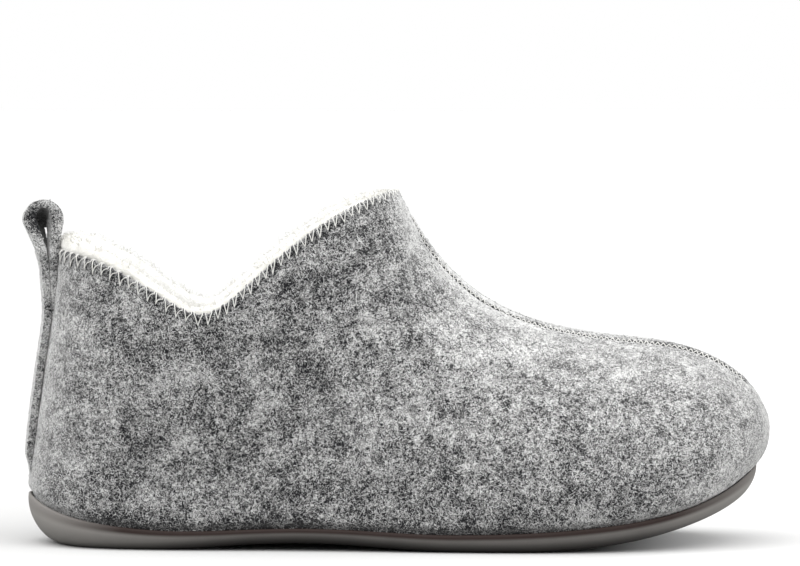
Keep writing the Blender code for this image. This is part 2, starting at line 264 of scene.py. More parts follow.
def upper_surface(where, climb):
    """Points of the felt's outer face. where counts stations round the boot, climb runs from 0 at the
    feather line to 1 at the collar or the front seam. Both are arrays of the same length."""
    side, station = side_of(where)
    foot, outward = feather_line(where)
    top, lean = top_line(where)
    low = foot + outward * ring_spline(column("out"), where)[:, None]
    low[:, 2] += ring_spline(column("up"), where)
    seam_line = np.column_stack([np.sin(lean), np.zeros(len(lean)), -np.cos(lean)])
    sideways = np.clip(station / 2, 0, 1) * np.pi / 2
    tilt = np.radians(RIDGE_TILT) * np.clip((station - PEAK) / 2, 0, 1)
    away = np.column_stack([-np.cos(sideways), side * np.sin(sideways) * np.cos(tilt), side * np.sin(tilt)])
    reach, across = (ring_spline(column(name), where)[:, None] for name in ("reach", "across"))
    return bezier(foot, low, top + seam_line * reach + away * across, top, climb[:, None])


def floor_ring(where, inset, lift):
    """A ring inside the foot of the felt, above the sole's floor. At heel and toe the felt tucks in."""
    foot, outward = feather_line(where)
    tuck = np.maximum(ring_spline(column("tread"), where)[:, None] - SIDE_TREAD, 0)
    ring = foot - outward * (inset + tuck)
    ring[:, 2] = tread_height(ring[:, 0]) + SOLE_FLOOR + lift
    return ring


def front_seam():
    """Points along the front seam: from the collar's peak over the instep and down the front of the toe."""
    top = top_line(np.linspace(PEAK, TOE, SEAM_POINTS))[0]
    climb = np.linspace(1, SEAM_END, TOE_SEAM_POINTS)[1:]
    return np.concatenate([top, upper_surface(np.full(len(climb), float(TOE)), climb)])


def nearest(line, points):
    """Number of the nearest point of a closely spaced line, and how far it is, for each of the points."""
    tree = KDTree(len(line))
    for i, point in enumerate(line):
        tree.insert(point, i)
    tree.balance()
    found = [tree.find(point) for point in points]
    return np.array([hit[1] for hit in found]), np.array([hit[2] for hit in found])


def run_along(line):
    """Length of a line up to each of its points."""
    return np.concatenate([[0], np.cumsum(np.linalg.norm(np.diff(line, axis=0), axis=1))])


def surface_frame(where, climb):
    """Points of the last's surface with the directions out of it and up it, and their distance from the
    front seam. Beside the seam the directions of both sides are blended, so that the sides join."""
    held = np.clip(climb, STEP, 1 - STEP)

    def directions(at):
        up = upper_surface(at, held + STEP) - upper_surface(at, held - STEP)
        round_it = upper_surface(at + STEP, held) - upper_surface(at - STEP, held)
        return unit(np.cross(round_it, up)), unit(up)

    points = upper_surface(where, climb)
    out, up = directions(where)
    other_out, other_up = directions(LOOP - where)
    from_seam = nearest(front_seam(), points)[1]
    blend = np.exp(-((from_seam / SEAM_BLEND) ** 2))[:, None]
    return points, unit(out + blend * other_out), unit(up + blend * other_up), from_seam


def lumps(points, size, seed):
    """Smooth random heights between -1 and 1 in space, with bumps of about this size."""
    shift = np.array(LUMP_SHIFT) * seed
    return np.array([noise.noise(Vector(point)) for point in points / size + shift])


def lumps_of_two_sizes(points, coarse, fine, seed):
    """Coarse lumps with lower fine ones on them."""
    return lumps(points, coarse, seed) + FINE_LUMPS * lumps(points, fine, seed + 1)


# A wall of the upper: rows of points over its outer face, its rim and its inner face

Wall = namedtuple("Wall", "points ways outer_rows rim_rows stations from_seam")
RIM_FADE = 0.4  # stations behind the collar's peak in which the rim flattens


def wall(where, outside, inside, rise, climbs, inner_rows, rim_steps):
    """Rows of points over a wall between two depths below the felt's face, and the ways out of the wall.
    where are the places of its columns round the boot, rise is how far its rim stands above the collar and
    climbs are the heights of the outer rows."""
    stations = side_of(where)[1]
    ones = np.ones(len(where))
    edge, out, up, _ = surface_frame(where, ones)
    speed = np.linalg.norm(edge - upper_surface(where, ones - STEP), axis=1) / STEP
    soft = smooth_step((PEAK - stations) / RIM_FADE)
    half = (inside - outside) / 2
    rim_height = np.maximum(half, rise - GAP) * soft
    rim_middle = rise * soft - rim_height
    top_climb = 1 + rim_middle / speed

    def face(depth, way, shares):
        rows = [surface_frame(where, share * top_climb) for share in shares]
        points = [row[0] - row[1] * depth for row in rows]
        return points, [way * row[1] for row in rows], [row[3] for row in rows]

    outer, outer_ways, from_seam = face(outside, 1, climbs)
    inner, inner_ways, _ = face(inside, -1, np.linspace(1, 0, inner_rows))
    middle = edge - out * (outside + inside) / 2 + up * rim_middle[:, None]
    rim, rim_ways = [], []
    for angle in np.linspace(0, np.pi, rim_steps + 2)[1:-1]:
        rim.append(middle + out * half * np.cos(angle) + up * rim_height[:, None] * np.sin(angle))
        rim_ways.append(out * np.cos(angle) + up * np.sin(angle))
    points = [floor_ring(where, outside, GAP), *outer, *rim, *inner, floor_ring(where, inside, GAP)]
    ways = [outer_ways[0], *outer_ways, *rim_ways, *inner_ways, inner_ways[-1]]
    rim_rows = range(len(outer), len(outer) + rim_steps + 1)
    return Wall(np.array(points), np.array(ways), len(outer) + 1, rim_rows, stations, np.array(from_seam))


def wall_faces(made):
    """Corner numbers of the wall's faces. Only the collar has a rim: before it the sides are joined."""
    rows, columns = made.points.shape[:2]
    faces = []
    for row in range(rows):
        above = (row + 1) % rows
        for i in range(columns):
            j = (i + 1) % columns
            if row in made.rim_rows and max(made.stations[i], made.stations[j]) > PEAK:
                continue
            corners = ((row, i), (row, j), (above, j), (above, i))
            faces.append([r * columns + c for r, c in corners])
    return faces


# Meshes and objects


def add_piece(name, points, faces, finish):
    """A smooth-shaded object in metres from points in millimetres."""
    mesh = bpy.data.meshes.new(name)
    mesh.from_pydata((np.asarray(points).reshape(-1, 3) * MM).tolist(), [], faces)
    mesh.shade_smooth()
    mesh.materials.append(finish)
    piece = bpy.data.objects.new(name, mesh)
    bpy.context.scene.collection.objects.link(piece)
    return piece


def close_up(piece, width=0.0):
    """Closes seams up to this width in millimetres and turns all faces outwards."""
    tools = bmesh.new()
    tools.from_mesh(piece.data)
    if width:
        bmesh.ops.remove_doubles(tools, verts=tools.verts, dist=width * MM)
    bmesh.ops.recalc_face_normals(tools, faces=tools.faces)
    tools.to_mesh(piece.data)
    tools.free()


def store(piece, name, values):
    """Writes a value for each point of a mesh, for its material and the node trees."""
    layer = piece.data.attributes.new(name, "FLOAT", "POINT")
    full = np.broadcast_to(np.asarray(values, float).ravel(), len(piece.data.vertices))
    layer.data.foreach_set("value", np.ascontiguousarray(full))


def grid_faces(rows, columns, closed=False):
    """Corner numbers of the faces of a grid whose rows may close into rings."""
    faces = []
    for row in range(rows - 1):
        for i in range(columns if closed else columns - 1):
            j = (i + 1) % columns
            corners = ((row, i), (row, j), (row + 1, j), (row + 1, i))
            faces.append([r * columns + c for r, c in corners])
    return faces


def cap_faces(first, count):
    """Corner numbers of the faces that close a ring of points from this one on, which runs from one end of
    the boot to the other and back."""
    half = count // 2
    faces = [[first, first + 1, first + count - 1]]
    for i in range(1, half - 1):
        faces.append([first + i, first + i + 1, first + count - i - 1, first + count - i])
    faces.append([first + half - 1, first + half, first + half + 1])
    return faces


def settle(source, name):
    """Replaces an object and its modifiers by a plain mesh object of this name."""
    source.name = name + "_source"
    graph = bpy.context.evaluated_depsgraph_get()
    mesh = bpy.data.meshes.new_from_object(
        source.evaluated_get(graph), preserve_all_data_layers=True, depsgraph=graph
    )
    bpy.data.objects.remove(source)
    mesh.name = name
    piece = bpy.data.objects.new(name, mesh)
    bpy.context.scene.collection.objects.link(piece)
    return piece


def fit(piece, slot, *nodes):
    """Puts a finished piece into the frame: it rides with the boot and stands for the solids it shows."""
    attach(piece, BODY)
    if nodes:
        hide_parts(*nodes)


# Node trees


def live(sockets, name):
    """The socket of this name, or number, that the node's settings leave switched on."""
    if isinstance(name, int):
        return sockets[name]
    return next(socket for socket in sockets if socket.name == name and socket.enabled)


def add_node(tree, kind, inputs=None, **settings):
    """A new node with its settings. inputs maps socket names to values, sockets or nodes to link."""
    node = tree.nodes.new(kind)
    for name, value in settings.items():
        setattr(node, name, value)
    for name, value in (inputs or {}).items():
        socket = live(node.inputs, name)
        if isinstance(value, bpy.types.Node):
            value = next(out for out in value.outputs if out.enabled)
        if isinstance(value, bpy.types.NodeSocket):
            tree.links.new(value, socket)
        else:
            socket.default_value = value
    return node


def maths(tree, operation, *values, clamp=False):
    """A Math node on these numbers or sockets."""
    return add_node(tree, "ShaderNodeMath", dict(enumerate(values)), operation=operation, use_clamp=clamp)


def new_tree(name, kind, inputs, output):
    """An empty node tree with named inputs and one named output, and the sockets of its input node."""
    tree = bpy.data.node_groups.new(name, kind)
    for label, sort in inputs:
        tree.interface.new_socket(label, in_out="INPUT", socket_type="NodeSocket" + sort)
    label, sort = output
    tree.interface.new_socket(label, in_out="OUTPUT", socket_type="NodeSocket" + sort)
    return tree, tree.nodes.new("NodeGroupInput").outputs


def new_geometry_tree(name, inputs):
    """An empty Geometry Nodes tree with these inputs after its geometry, and its input sockets."""
    geometry = ("Geometry", "Geometry")
    return new_tree(name, "GeometryNodeTree", (geometry, *inputs), geometry)


def end_geometry_tree(tree, geometry, finish):
    """Closes a tree: real meshes with their material."""
    real = add_node(tree, "GeometryNodeRealizeInstances", {"Geometry": geometry})
    shown = add_node(tree, "GeometryNodeSetMaterial", {"Geometry": real, "Material": finish})
    add_node(tree, "NodeGroupOutput", {"Geometry": shown})


def run_nodes(piece, tree, values, name):
    """Runs a Geometry Nodes tree on an object with these inputs and keeps the result as a plain mesh."""
    modifier = piece.modifiers.new(tree.name, "NODES")
    modifier.node_group = tree
    for item in tree.interface.items_tree:
        if item.item_type == "SOCKET" and item.in_out == "INPUT" and item.name in values:
            modifier[item.identifier] = values[item.name]
    made = settle(piece, name)
    made.data.materials.clear()
    made.data.materials.append(values["Material"])
    return made


def random_float(tree, low, high, seed):
    """A different number between two limits for each point or strand."""
    limits = {2: low, 3: high, "Seed": seed}
    return add_node(tree, "FunctionNodeRandomValue", limits, data_type="FLOAT").outputs[1]


MIDDLE = 0.5  # mean value of a noise
CLOUD_SEED, CLOUD_DETAIL = 1.0, 3.0
BLOTCH_SEED, BLOTCH_DETAIL, BLOTCH_SCALE = 2.0, 2.0, 3.5  # blotches are this much smaller than clouds
CHANCE_POWER = 0.5  # below 1, most strands are clearly dark or clearly pale
STRAND_DRAWS = 8  # random draws for each strand
STRAND_TILT = 0.5  # most that a strand rolls to its side, in radians
MOST_PICKS = 1000  # range of the draw that picks a strand's shape


def wool_clouds(tree, place, size):
    """Clouds of dark and pale wool and the smaller blotches in them, around 0. They lie at the same places
    in the felt and in the fibres on it."""

    def soft(scale, seed, detail):
        field = add_node(
            tree, "ShaderNodeTexNoise",
            {"Vector": place, "W": seed, "Scale": scale, "Detail": detail}, noise_dimensions="4D",
        )
        return maths(tree, "SUBTRACT", field.outputs[0], MIDDLE)

    scale = maths(tree, "DIVIDE", 1.0, size)
    clouds = soft(scale, CLOUD_SEED, CLOUD_DETAIL)
    return clouds, soft(maths(tree, "MULTIPLY", scale, BLOTCH_SCALE), BLOTCH_SEED, BLOTCH_DETAIL)


def strand_tree(name):
    """Geometry Nodes that scatter strands over a mesh, as thickly as its attribute "density" says. Most lie
    on it and some stand up. Each gets a "shade" from its own chance, from soft clouds in space and from the
    mesh's tone attribute, which holds painted shade and painted light besides the wool's own tone."""
    tree, given = new_geometry_tree(
        name,
        (
            ("Shapes", "Collection"),
            ("Length", "Float"),
            ("Length Spread", "Float"),
            ("Lean", "Float"),
            ("Standing Share", "Float"),
            ("Standing Lean", "Float"),
            ("Shade", "Float"),
            ("Shade Spread", "Float"),
            ("Cloud Size", "Float"),
            ("Cloud Spread", "Float"),
            ("Seed", "Int"),
            ("Material", "Material"),
        ),
    )
    seeds = [maths(tree, "ADD", given["Seed"], float(i)).outputs[0] for i in range(STRAND_DRAWS)]
    thick = add_node(tree, "GeometryNodeInputNamedAttribute", {"Name": "density"}, data_type="FLOAT")
    spread = add_node(
        tree,
        "GeometryNodeDistributePointsOnFaces",
        {"Mesh": given["Geometry"], "Density": live(thick.outputs, "Attribute"), "Seed": given["Seed"]},
        distribute_method="RANDOM",
    )
    shapes = add_node(
        tree, "GeometryNodeCollectionInfo",
        {"Collection": given["Shapes"], "Separate Children": True, "Reset Children": True},
    )
    stands = maths(tree, "LESS_THAN", random_float(tree, 0.0, 1.0, seeds[1]), given["Standing Share"])
    most = add_node(
        tree, "ShaderNodeMix",
        {"Factor": stands, "A": given["Lean"], "B": given["Standing Lean"]}, data_type="FLOAT",
    )
    lean = maths(tree, "MULTIPLY", live(most.outputs, "Result"), random_float(tree, -1.0, 1.0, seeds[2]))
    turn = add_node(
        tree, "ShaderNodeCombineXYZ",
        {
            "X": random_float(tree, -STRAND_TILT, STRAND_TILT, seeds[3]),
            "Y": lean,
            "Z": random_float(tree, 0.0, 2 * np.pi, seeds[4]),
        },
    )
    facing = add_node(
        tree, "FunctionNodeRotateRotation",
        {
            "Rotation": live(spread.outputs, "Rotation"),
            "Rotate By": add_node(tree, "FunctionNodeEulerToRotation", {"Euler": turn}),
        },
        rotation_space="LOCAL",
    )
    stretch = maths(tree, "MULTIPLY", given["Length Spread"], random_float(tree, -1.0, 1.0, seeds[5]))
    size = maths(tree, "MULTIPLY_ADD", given["Length"], stretch, given["Length"])
    picks = {4: 0, 5: MOST_PICKS, "Seed": seeds[6]}
    chosen = add_node(tree, "FunctionNodeRandomValue", picks, data_type="INT").outputs[2]
    placed = add_node(
        tree, "GeometryNodeInstanceOnPoints",
        {
            "Points": spread, "Instance": shapes, "Pick Instance": True, "Instance Index": chosen,
            "Rotation": facing, "Scale": size,
        },
    )
    place = add_node(
        tree, "ShaderNodeVectorMath",
        {0: add_node(tree, "GeometryNodeInputPosition"), "Scale": 1 / MM}, operation="SCALE",
    )
    clouds, blotches = wool_clouds(tree, place, given["Cloud Size"])
    tone = add_node(tree, "GeometryNodeInputNamedAttribute", {"Name": "tone"}, data_type="FLOAT")
    draw = random_float(tree, -1.0, 1.0, seeds[7])
    apart = maths(tree, "POWER", maths(tree, "ABSOLUTE", draw), CHANCE_POWER)
    chance = maths(tree, "MULTIPLY", apart, maths(tree, "SIGN", draw))
    value = weighted(
        tree, given["Shade"],
        (clouds, given["Cloud Spread"]), (blotches, given["Cloud Spread"]),
        (chance, given["Shade Spread"]), (live(tone.outputs, "Attribute"), 1.0),
    )
    shade = maths(tree, "ADD", value, 0.0, clamp=True)
    shaded = add_node(
        tree, "GeometryNodeStoreNamedAttribute",
        {"Geometry": placed, "Name": "shade", "Value": shade}, data_type="FLOAT", domain="INSTANCE",
    )
    end_geometry_tree(tree, shaded, given["Material"])
    return tree


def path_tree(name):
    """Geometry Nodes that turn every path of a mesh into a round thread or rib."""
    tree, given = new_geometry_tree(name, (("Width", "Float"), ("Sides", "Int"), ("Material", "Material")))
    path = add_node(tree, "GeometryNodeMeshToCurve", {"Mesh": given["Geometry"]})
    radius = maths(tree, "MULTIPLY", given["Width"], 0.5)
    ring = add_node(
        tree, "GeometryNodeCurvePrimitiveCircle",
        {"Resolution": given["Sides"], "Radius": radius}, mode="RADIUS",
    )
    tube = add_node(
        tree, "GeometryNodeCurveToMesh", {"Curve": path, "Profile Curve": ring, "Fill Caps": True}
    )
    smooth = add_node(tree, "GeometryNodeSetShadeSmooth", {"Geometry": tube})
    end_geometry_tree(tree, smooth, given["Material"])
    return tree


# Strand shapes, each one unit long

MAP_NAME = "OFBake"
MAP_EDGE, MAP_ROWS = 0.01, 97  # free edge of the strands' map and rows of patches on it
PATCH_WIDTH, PATCH_HEIGHT = 0.004, 0.008  # of one strand on the map
ROW_SHUFFLE = 7919.0  # spreads strands of nearly the same shade over the rows
FIBRE_END, FIBRE_TIP = 0.35, 0.12  # a fibre's ends are this thin, as a share, over this share of its length
FIBRE_SUNK = 0.25  # share of a fibre's arch that lies in the felt
LOCK_SEGMENTS = 3
LOCK_SPREAD, LOCK_BEAT = 0.7, 5.1  # how unevenly the locks of a tuft stand round it
LEAST_CURL, CURL_SPREAD, CURL_BEAT = 0.75, 0.5, 0.618  # how differently they curl
LOCK_SWING, LOCK_WAVES = 0.12, 1.5  # how far they wave to the side, and half waves on the way
LOCK_THINNING = 0.6  # how much thinner they are at their tips


def add_ribbon(tools, points, widths, sides):
    """A flat ribbon through points, with its width and sideways direction at each."""
    uv = tools.loops.layers.uv.get(MAP_NAME) or tools.loops.layers.uv.new(MAP_NAME)
    pairs = []
    for point, width, side in zip(points, widths, sides):
        pairs.append([tools.verts.new(point + side * width / 2 * way) for way in (-1, 1)])
    for i, (low, high) in enumerate(zip(pairs, pairs[1:])):
        face = tools.faces.new((low[0], high[0], high[1], low[1]))
        for loop, corner in zip(face.loops, ((0, i), (0, i + 1), (1, i + 1), (1, i))):
            loop[uv].uv = (corner[0], corner[1] / (len(points) - 1))


def shape_collection(name, builders):
    """A collection outside the scene with one mesh object for each builder."""
    shapes = bpy.data.collections.new(name)
    for i, build in enumerate(builders):
        tools = bmesh.new()
        build(tools)
        mesh = bpy.data.meshes.new(f"{name}_{i}")
        tools.to_mesh(mesh)
        tools.free()
        mesh.shade_smooth()
        shapes.objects.link(bpy.data.objects.new(f"{name}_{i}", mesh))
    return shapes


def drop_shapes(shapes):
    """Removes the shapes once they have been scattered."""
    for piece in list(shapes.objects):
        bpy.data.objects.remove(piece)
    bpy.data.collections.remove(shapes)


def wool_fibre(bend, wave, arch, width, segments):
    """Builder of one lying fibre, which bends, waves, arches off the felt and thins at its ends."""

    def build(tools):
        t = np.linspace(0, 1, segments + 1)
        hump = 4 * t * (1 - t)
        across = bend * (hump - 0.5) + wave * np.sin(2 * np.pi * t)
        points = np.column_stack([t - 0.5, across, arch * (hump - FIBRE_SUNK)])
        along = np.gradient(points, axis=0)
        sides = unit(np.column_stack([-along[:, 1], along[:, 0], np.zeros(len(t))]))
        swelling = np.sin(np.pi * np.clip(t, FIBRE_TIP, 1 - FIBRE_TIP))
        widths = width * (FIBRE_END + (1 - FIBRE_END) * swelling)
        add_ribbon(tools, points, widths, sides)

    return build


def fleece_tuft(locks, curl, width, turn):
    """Builder of a tuft of curling locks that rise from one root and bend over."""

    def build(tools):
        t = np.linspace(0, 1, LOCK_SEGMENTS + 1)
        for lock in range(locks):
            azimuth = turn + 2 * np.pi * lock / locks + LOCK_SPREAD * np.sin(LOCK_BEAT * lock + turn)
            bend = curl * (LEAST_CURL + CURL_SPREAD * ((lock * CURL_BEAT + turn) % 1))
            radial = np.array([np.cos(azimuth), np.sin(azimuth), 0.0])
            side = np.array([-radial[1], radial[0], 0.0])
            reach = (1 - np.cos(bend * t)) / bend
            swing = LOCK_SWING * np.sin(np.pi * LOCK_WAVES * t + lock)
            points = radial * reach[:, None] + side * swing[:, None]
            points[:, 2] += np.sin(bend * t) / bend
            widths = width * (1 - LOCK_THINNING * t)
            add_ribbon(tools, points, widths, np.repeat(side[None], len(t), axis=0))

    return build


def map_strands(piece, seed):
    """Lays every strand on a small patch of the map, placed by its shade, so a bake holds its colour."""
    mesh = piece.data
    corner = np.empty(len(mesh.loops) * 2)
    mesh.uv_layers[MAP_NAME].uv.foreach_get("vector", corner)
    corner = corner.reshape(-1, 2)
    vertex = np.empty(len(mesh.loops), int)
    mesh.loops.foreach_get("vertex_index", vertex)
    shade = np.empty(len(mesh.vertices))
    mesh.attributes["shade"].data.foreach_get("value", shade)
    level = shade[vertex]
    along = MAP_EDGE + (1 - 2 * MAP_EDGE) * level + PATCH_WIDTH * (corner[:, 0] - 0.5)
    row = np.floor(np.mod(level * ROW_SHUFFLE + seed, 1.0) * MAP_ROWS) / MAP_ROWS
    placed = np.column_stack([along, row + PATCH_HEIGHT * corner[:, 1]])
    mesh.uv_layers[MAP_NAME].uv.foreach_set("vector", np.clip(placed, 0, 1).ravel())


# Materials


def new_material(name, **constants):
    """A node material, with numbers or colours that are the same all over set on its shader."""
    made = bpy.data.materials.new(name)
    made.use_nodes = True
    shader = made.node_tree.nodes["Principled BSDF"]
    for label, value in constants.items():
        shader.inputs[label.replace("_", " ")].default_value = value
    return made, made.node_tree, shader


def in_millimetres(tree):
    """Place on the object in millimetres."""
    coordinates = add_node(tree, "ShaderNodeTexCoord")
    return add_node(
        tree, "ShaderNodeVectorMath", {0: coordinates.outputs["Object"], "Scale": 1 / MM}, operation="SCALE"
    )


def attribute(tree, name):
    """A value that the mesh holds for each of its points."""
    return add_node(tree, "ShaderNodeAttribute", attribute_name=name).outputs["Fac"]


def soft_climb(tree, value, start, end, low=0.0, high=1.0):
    """A soft climb from low to high while the value goes from start to end."""
    limits = {"Value": value, "From Min": start, "From Max": end, "To Min": low, "To Max": high}
    return add_node(tree, "ShaderNodeMapRange", limits, interpolation_type="SMOOTHSTEP")


def weighted(tree, base, *terms):
    """base plus every value times its weight."""
    total = base
    for value, weight in terms:
        total = maths(tree, "MULTIPLY_ADD", value, weight, total)
    return total


def opaque(colour):
    """A socket as it is, or a colour with its alpha."""
    return colour if isinstance(colour, bpy.types.NodeSocket) else (*colour, 1.0)


def mix_colours(tree, share, low, high):
    """Mixes two colours or colour sockets."""
    values = {"Factor": share, "A": opaque(low), "B": opaque(high)}
    return live(add_node(tree, "ShaderNodeMix", values, data_type="RGBA").outputs, "Result")


def add_bump(tree, shader, height, strength, depth):
    """Fine relief: depth in millimetres."""
    values = {"Strength": strength, "Distance": depth * MM, "Height": height}
    bump = add_node(tree, "ShaderNodeBump", values)
    tree.links.new(bump.outputs["Normal"], shader.inputs["Normal"])


# Effects that several materials use: shader node groups, each built once

CONTOUR_POWER, TIPS_POWER = 1.5, 3.0  # how late the painted sheen pales wool towards its contours, and its pale tips show there
HAIR_DETAIL, HAIR_SWIRL = 1.0, 0.8  # of the grain whose level lines are hairs


def grain_effect(name):
    """Soft random values between 0 and 1 in spots of about the given size in millimetres."""
    tree, given = new_tree(
        name, "ShaderNodeTree",
        (
            ("Place", "Vector"),
            ("Size", "Float"),
            ("Seed", "Float"),
            ("Detail", "Float"),
            ("Swirl", "Float"),
        ),
        ("Value", "Float"),
    )
    field = add_node(
        tree, "ShaderNodeTexNoise",
        {
            "Vector": given["Place"],
            "W": given["Seed"],
            "Scale": maths(tree, "DIVIDE", 1.0, given["Size"]),
            "Detail": given["Detail"],
            "Distortion": given["Swirl"],
        },
        noise_dimensions="4D",
    )
    add_node(tree, "NodeGroupOutput", {"Value": field.outputs[0]})
    return tree


def hair_lines_effect(name):
    """Fine wandering lines, 1 on the line: the level lines of a grain, like fibres lying on the surface."""
    tree, given = new_tree(
        name, "ShaderNodeTree",
        (("Place", "Vector"), ("Size", "Float"), ("Seed", "Float"), ("Thin", "Float")),
        ("Mask", "Float"),
    )
    field = place_effect(
        tree, "grain",
        {
            "Place": given["Place"], "Size": given["Size"], "Seed": given["Seed"],
            "Detail": HAIR_DETAIL, "Swirl": HAIR_SWIRL,
        },
    )
    level = maths(tree, "ABSOLUTE", maths(tree, "SUBTRACT", field, MIDDLE))
    line = soft_climb(tree, level, 0.0, given["Thin"], low=1.0, high=0.0)
    add_node(tree, "NodeGroupOutput", {"Mask": line})
    return tree


def wool_mix_effect(name):
    """Colour for a value from dark to pale wool, with painted sheen: where the surface turns away from the
    eye the mix is painted paler and takes on the colour of the fibres' tips."""
    tree, given = new_tree(
        name, "ShaderNodeTree",
        (
            ("Value", "Float"),
            ("Facing", "Float"),
            ("Dark", "Color"),
            ("Pale", "Color"),
            ("Contour", "Float"),
            ("Tips", "Color"),
            ("Tips Share", "Float"),
        ),
        ("Color", "Color"),
    )
    paler = maths(tree, "MULTIPLY", maths(tree, "POWER", given["Facing"], CONTOUR_POWER), given["Contour"])
    held = maths(tree, "ADD", given["Value"], paler, clamp=True)
    wool = mix_colours(tree, held, given["Dark"], given["Pale"])
    share = maths(tree, "MULTIPLY", maths(tree, "POWER", given["Facing"], TIPS_POWER), given["Tips Share"])
    add_node(tree, "NodeGroupOutput", {"Color": mix_colours(tree, share, wool, given["Tips"])})
    return tree


TREES = {
    "scattered_strands": strand_tree,
    "round_paths": path_tree,
    "grain": grain_effect,
    "hair_lines": hair_lines_effect,
    "wool_mix": wool_mix_effect,
}


def shared(name):
    """The node tree of this name, which is built when it is first used."""
    return bpy.data.node_groups.get(name) or TREES[name](name)


def place_effect(tree, name, values):
    """Places a shared effect in a node tree with these values, and gives its output."""
    return add_node(tree, "ShaderNodeGroup", values, node_tree=shared(name)).outputs[0]


def grain_of(tree, place, size, seed, detail=2.0):
    """The shared grain, in spots of this size in millimetres."""
    return place_effect(
        tree, "grain", {"Place": place, "Size": size, "Seed": float(seed), "Detail": detail, "Swirl": 0.0}
    )


def hairs_of(tree, place, size, seed, thin):
    """The shared hair lines, in waves of this size in millimetres."""
    return place_effect(
        tree, "hair_lines", {"Place": place, "Size": size, "Seed": float(seed), "Thin": thin}
    )


def wool_colour(tree, shader, value, settings):
    """Links the shared wool mix to the shader, with the felt's colours and painted sheen at the contours.
    """
    facing = add_node(tree, "ShaderNodeLayerWeight", {"Blend": 0.5}).outputs["Facing"]
    mixed = place_effect(
        tree, "wool_mix",
        {
            "Value": value,
            "Facing": facing,
            "Dark": opaque(settings.dark),
            "Pale": opaque(settings.pale),
            "Contour": settings.contour_sheen,
            "Tips": opaque(settings.sheen_tips),
            "Tips Share": settings.sheen_tips_share,
        },
    )
    tree.links.new(mixed, shader.inputs["Base Color"])


WOOL = {"Sheen_Roughness": 0.3, "Specular_IOR_Level": 0.1}  # what the felt, its fibres and locks share
GRAIN_TONE, GRAIN_LEVEL = 1.3, 0.7  # how far the felt's grain changes its shade, and its mean part
HAIR_TONE = 0.4  # how much paler or darker single hairs are


def felt_material(settings):
    """Pressed wool in salt and pepper: clouds of dark and pale wool, blotches and single fibres. The mesh's
    tone attribute adds painted shade and painted light, and the wool mix adds painted sheen.
    """
    finish, tree, shader = new_material("grey_felt", Roughness=0.95, Sheen_Weight=settings.sheen, **WOOL)
    place = in_millimetres(tree)
    clouds, blotches = wool_clouds(tree, place, settings.cloud_size / MM)
    grain = grain_of(tree, place, size=0.5, seed=3)
    pale_hairs = hairs_of(tree, place, size=1.7, seed=4, thin=0.07)
    dark_hairs = hairs_of(tree, place, size=1.5, seed=5, thin=0.07)
    value = weighted(
        tree, settings.shade - GRAIN_LEVEL,
        (clouds, settings.cloud_spread), (blotches, settings.cloud_spread), (grain, GRAIN_TONE),
        (pale_hairs, HAIR_TONE), (dark_hairs, -HAIR_TONE), (attribute(tree, "tone"), 1.0),
    )
    wool_colour(tree, shader, maths(tree, "ADD", value, 0.0, clamp=True), settings)
    add_bump(tree, shader, value, strength=0.5, depth=0.3)
    return finish


def fibre_material(settings):
    """Loose wool fibres, whose colour runs from dark to pale with each one's shade, in which painted shade
    and painted light are mixed, and with painted sheen at the contours.
    """
    finish, tree, shader = new_material("wool_fibres", Roughness=0.9, Sheen_Weight=settings.sheen, **WOOL)
    wool_colour(tree, shader, attribute(tree, "shade"), settings)
    return finish


def lock_material(settings):
    """Locks of fleece, whose colour runs from deep to pale with each one's shade, which takes in the
    painted shade and painted light of the pile below them.
    """
    finish, tree, shader = new_material("fleece_locks", Roughness=0.9, Sheen_Weight=0.6, **WOOL)
    mixed = mix_colours(tree, attribute(tree, "shade"), settings.shaded, settings.colour)
    tree.links.new(mixed, shader.inputs["Base Color"])
    return finish


LUMP_RELIEF, CURL_RELIEF = 0.9, 0.25  # share of the lumps and of the curls in the pile's relief
RELIEF_TONE = 0.1  # how much paler the pile is on its lumps


def fleece_material(settings):
    """Creamy pile: paler on its lumps, with painted shade beside the felt's edge and painted light inside
    the boot, and a fine curly grain.
    """
    finish, tree, shader = new_material(
        "fleece_pile", Roughness=0.9, Sheen_Weight=0.6, Sheen_Roughness=0.5, Specular_IOR_Level=0.1,
        Subsurface_Weight=0.7, Subsurface_Scale=4 * MM, Subsurface_Radius=(1.0, 1.0, 1.0),
    )
    place = in_millimetres(tree)
    lumpy = grain_of(tree, place, size=4.5, seed=6, detail=3.0)
    curls = hairs_of(tree, place, size=2.2, seed=7, thin=0.12)
    relief = weighted(tree, 0.0, (lumpy, LUMP_RELIEF), (curls, CURL_RELIEF))
    value = weighted(tree, settings.paleness, (relief, RELIEF_TONE), (attribute(tree, "tone"), 1.0))
    held = maths(tree, "ADD", value, 0.0, clamp=True)
    tree.links.new(mix_colours(tree, held, settings.shaded, settings.colour), shader.inputs["Base Color"])
    add_bump(tree, shader, relief, strength=0.7, depth=0.8)
    return finish


THREAD_SHADE = 0.8  # how dark the thread is between its strands


def thread_material(settings):
    """Off-white sewing thread with a fine grain."""
    finish, tree, shader = new_material("pale_thread", Roughness=0.6, Specular_IOR_Level=0.35)
    fuzz = grain_of(tree, in_millimetres(tree), size=0.6, seed=8)
    low = tuple(THREAD_SHADE * part for part in settings.colour)
    tree.links.new(mix_colours(tree, fuzz, low, settings.colour), shader.inputs["Base Color"])
    add_bump(tree, shader, fuzz, strength=0.4, depth=0.1)
    return finish


CLOUD_TONE, SPECK_TONE, TONE_LEVEL = 0.25, 0.15, -0.2  # how clouds and specks change the rubber's tone
ROUGHNESS, CLOUD_ROUGHNESS, SPECK_ROUGHNESS = 0.42, 0.12, 0.1  # of smooth rubber, and what they add


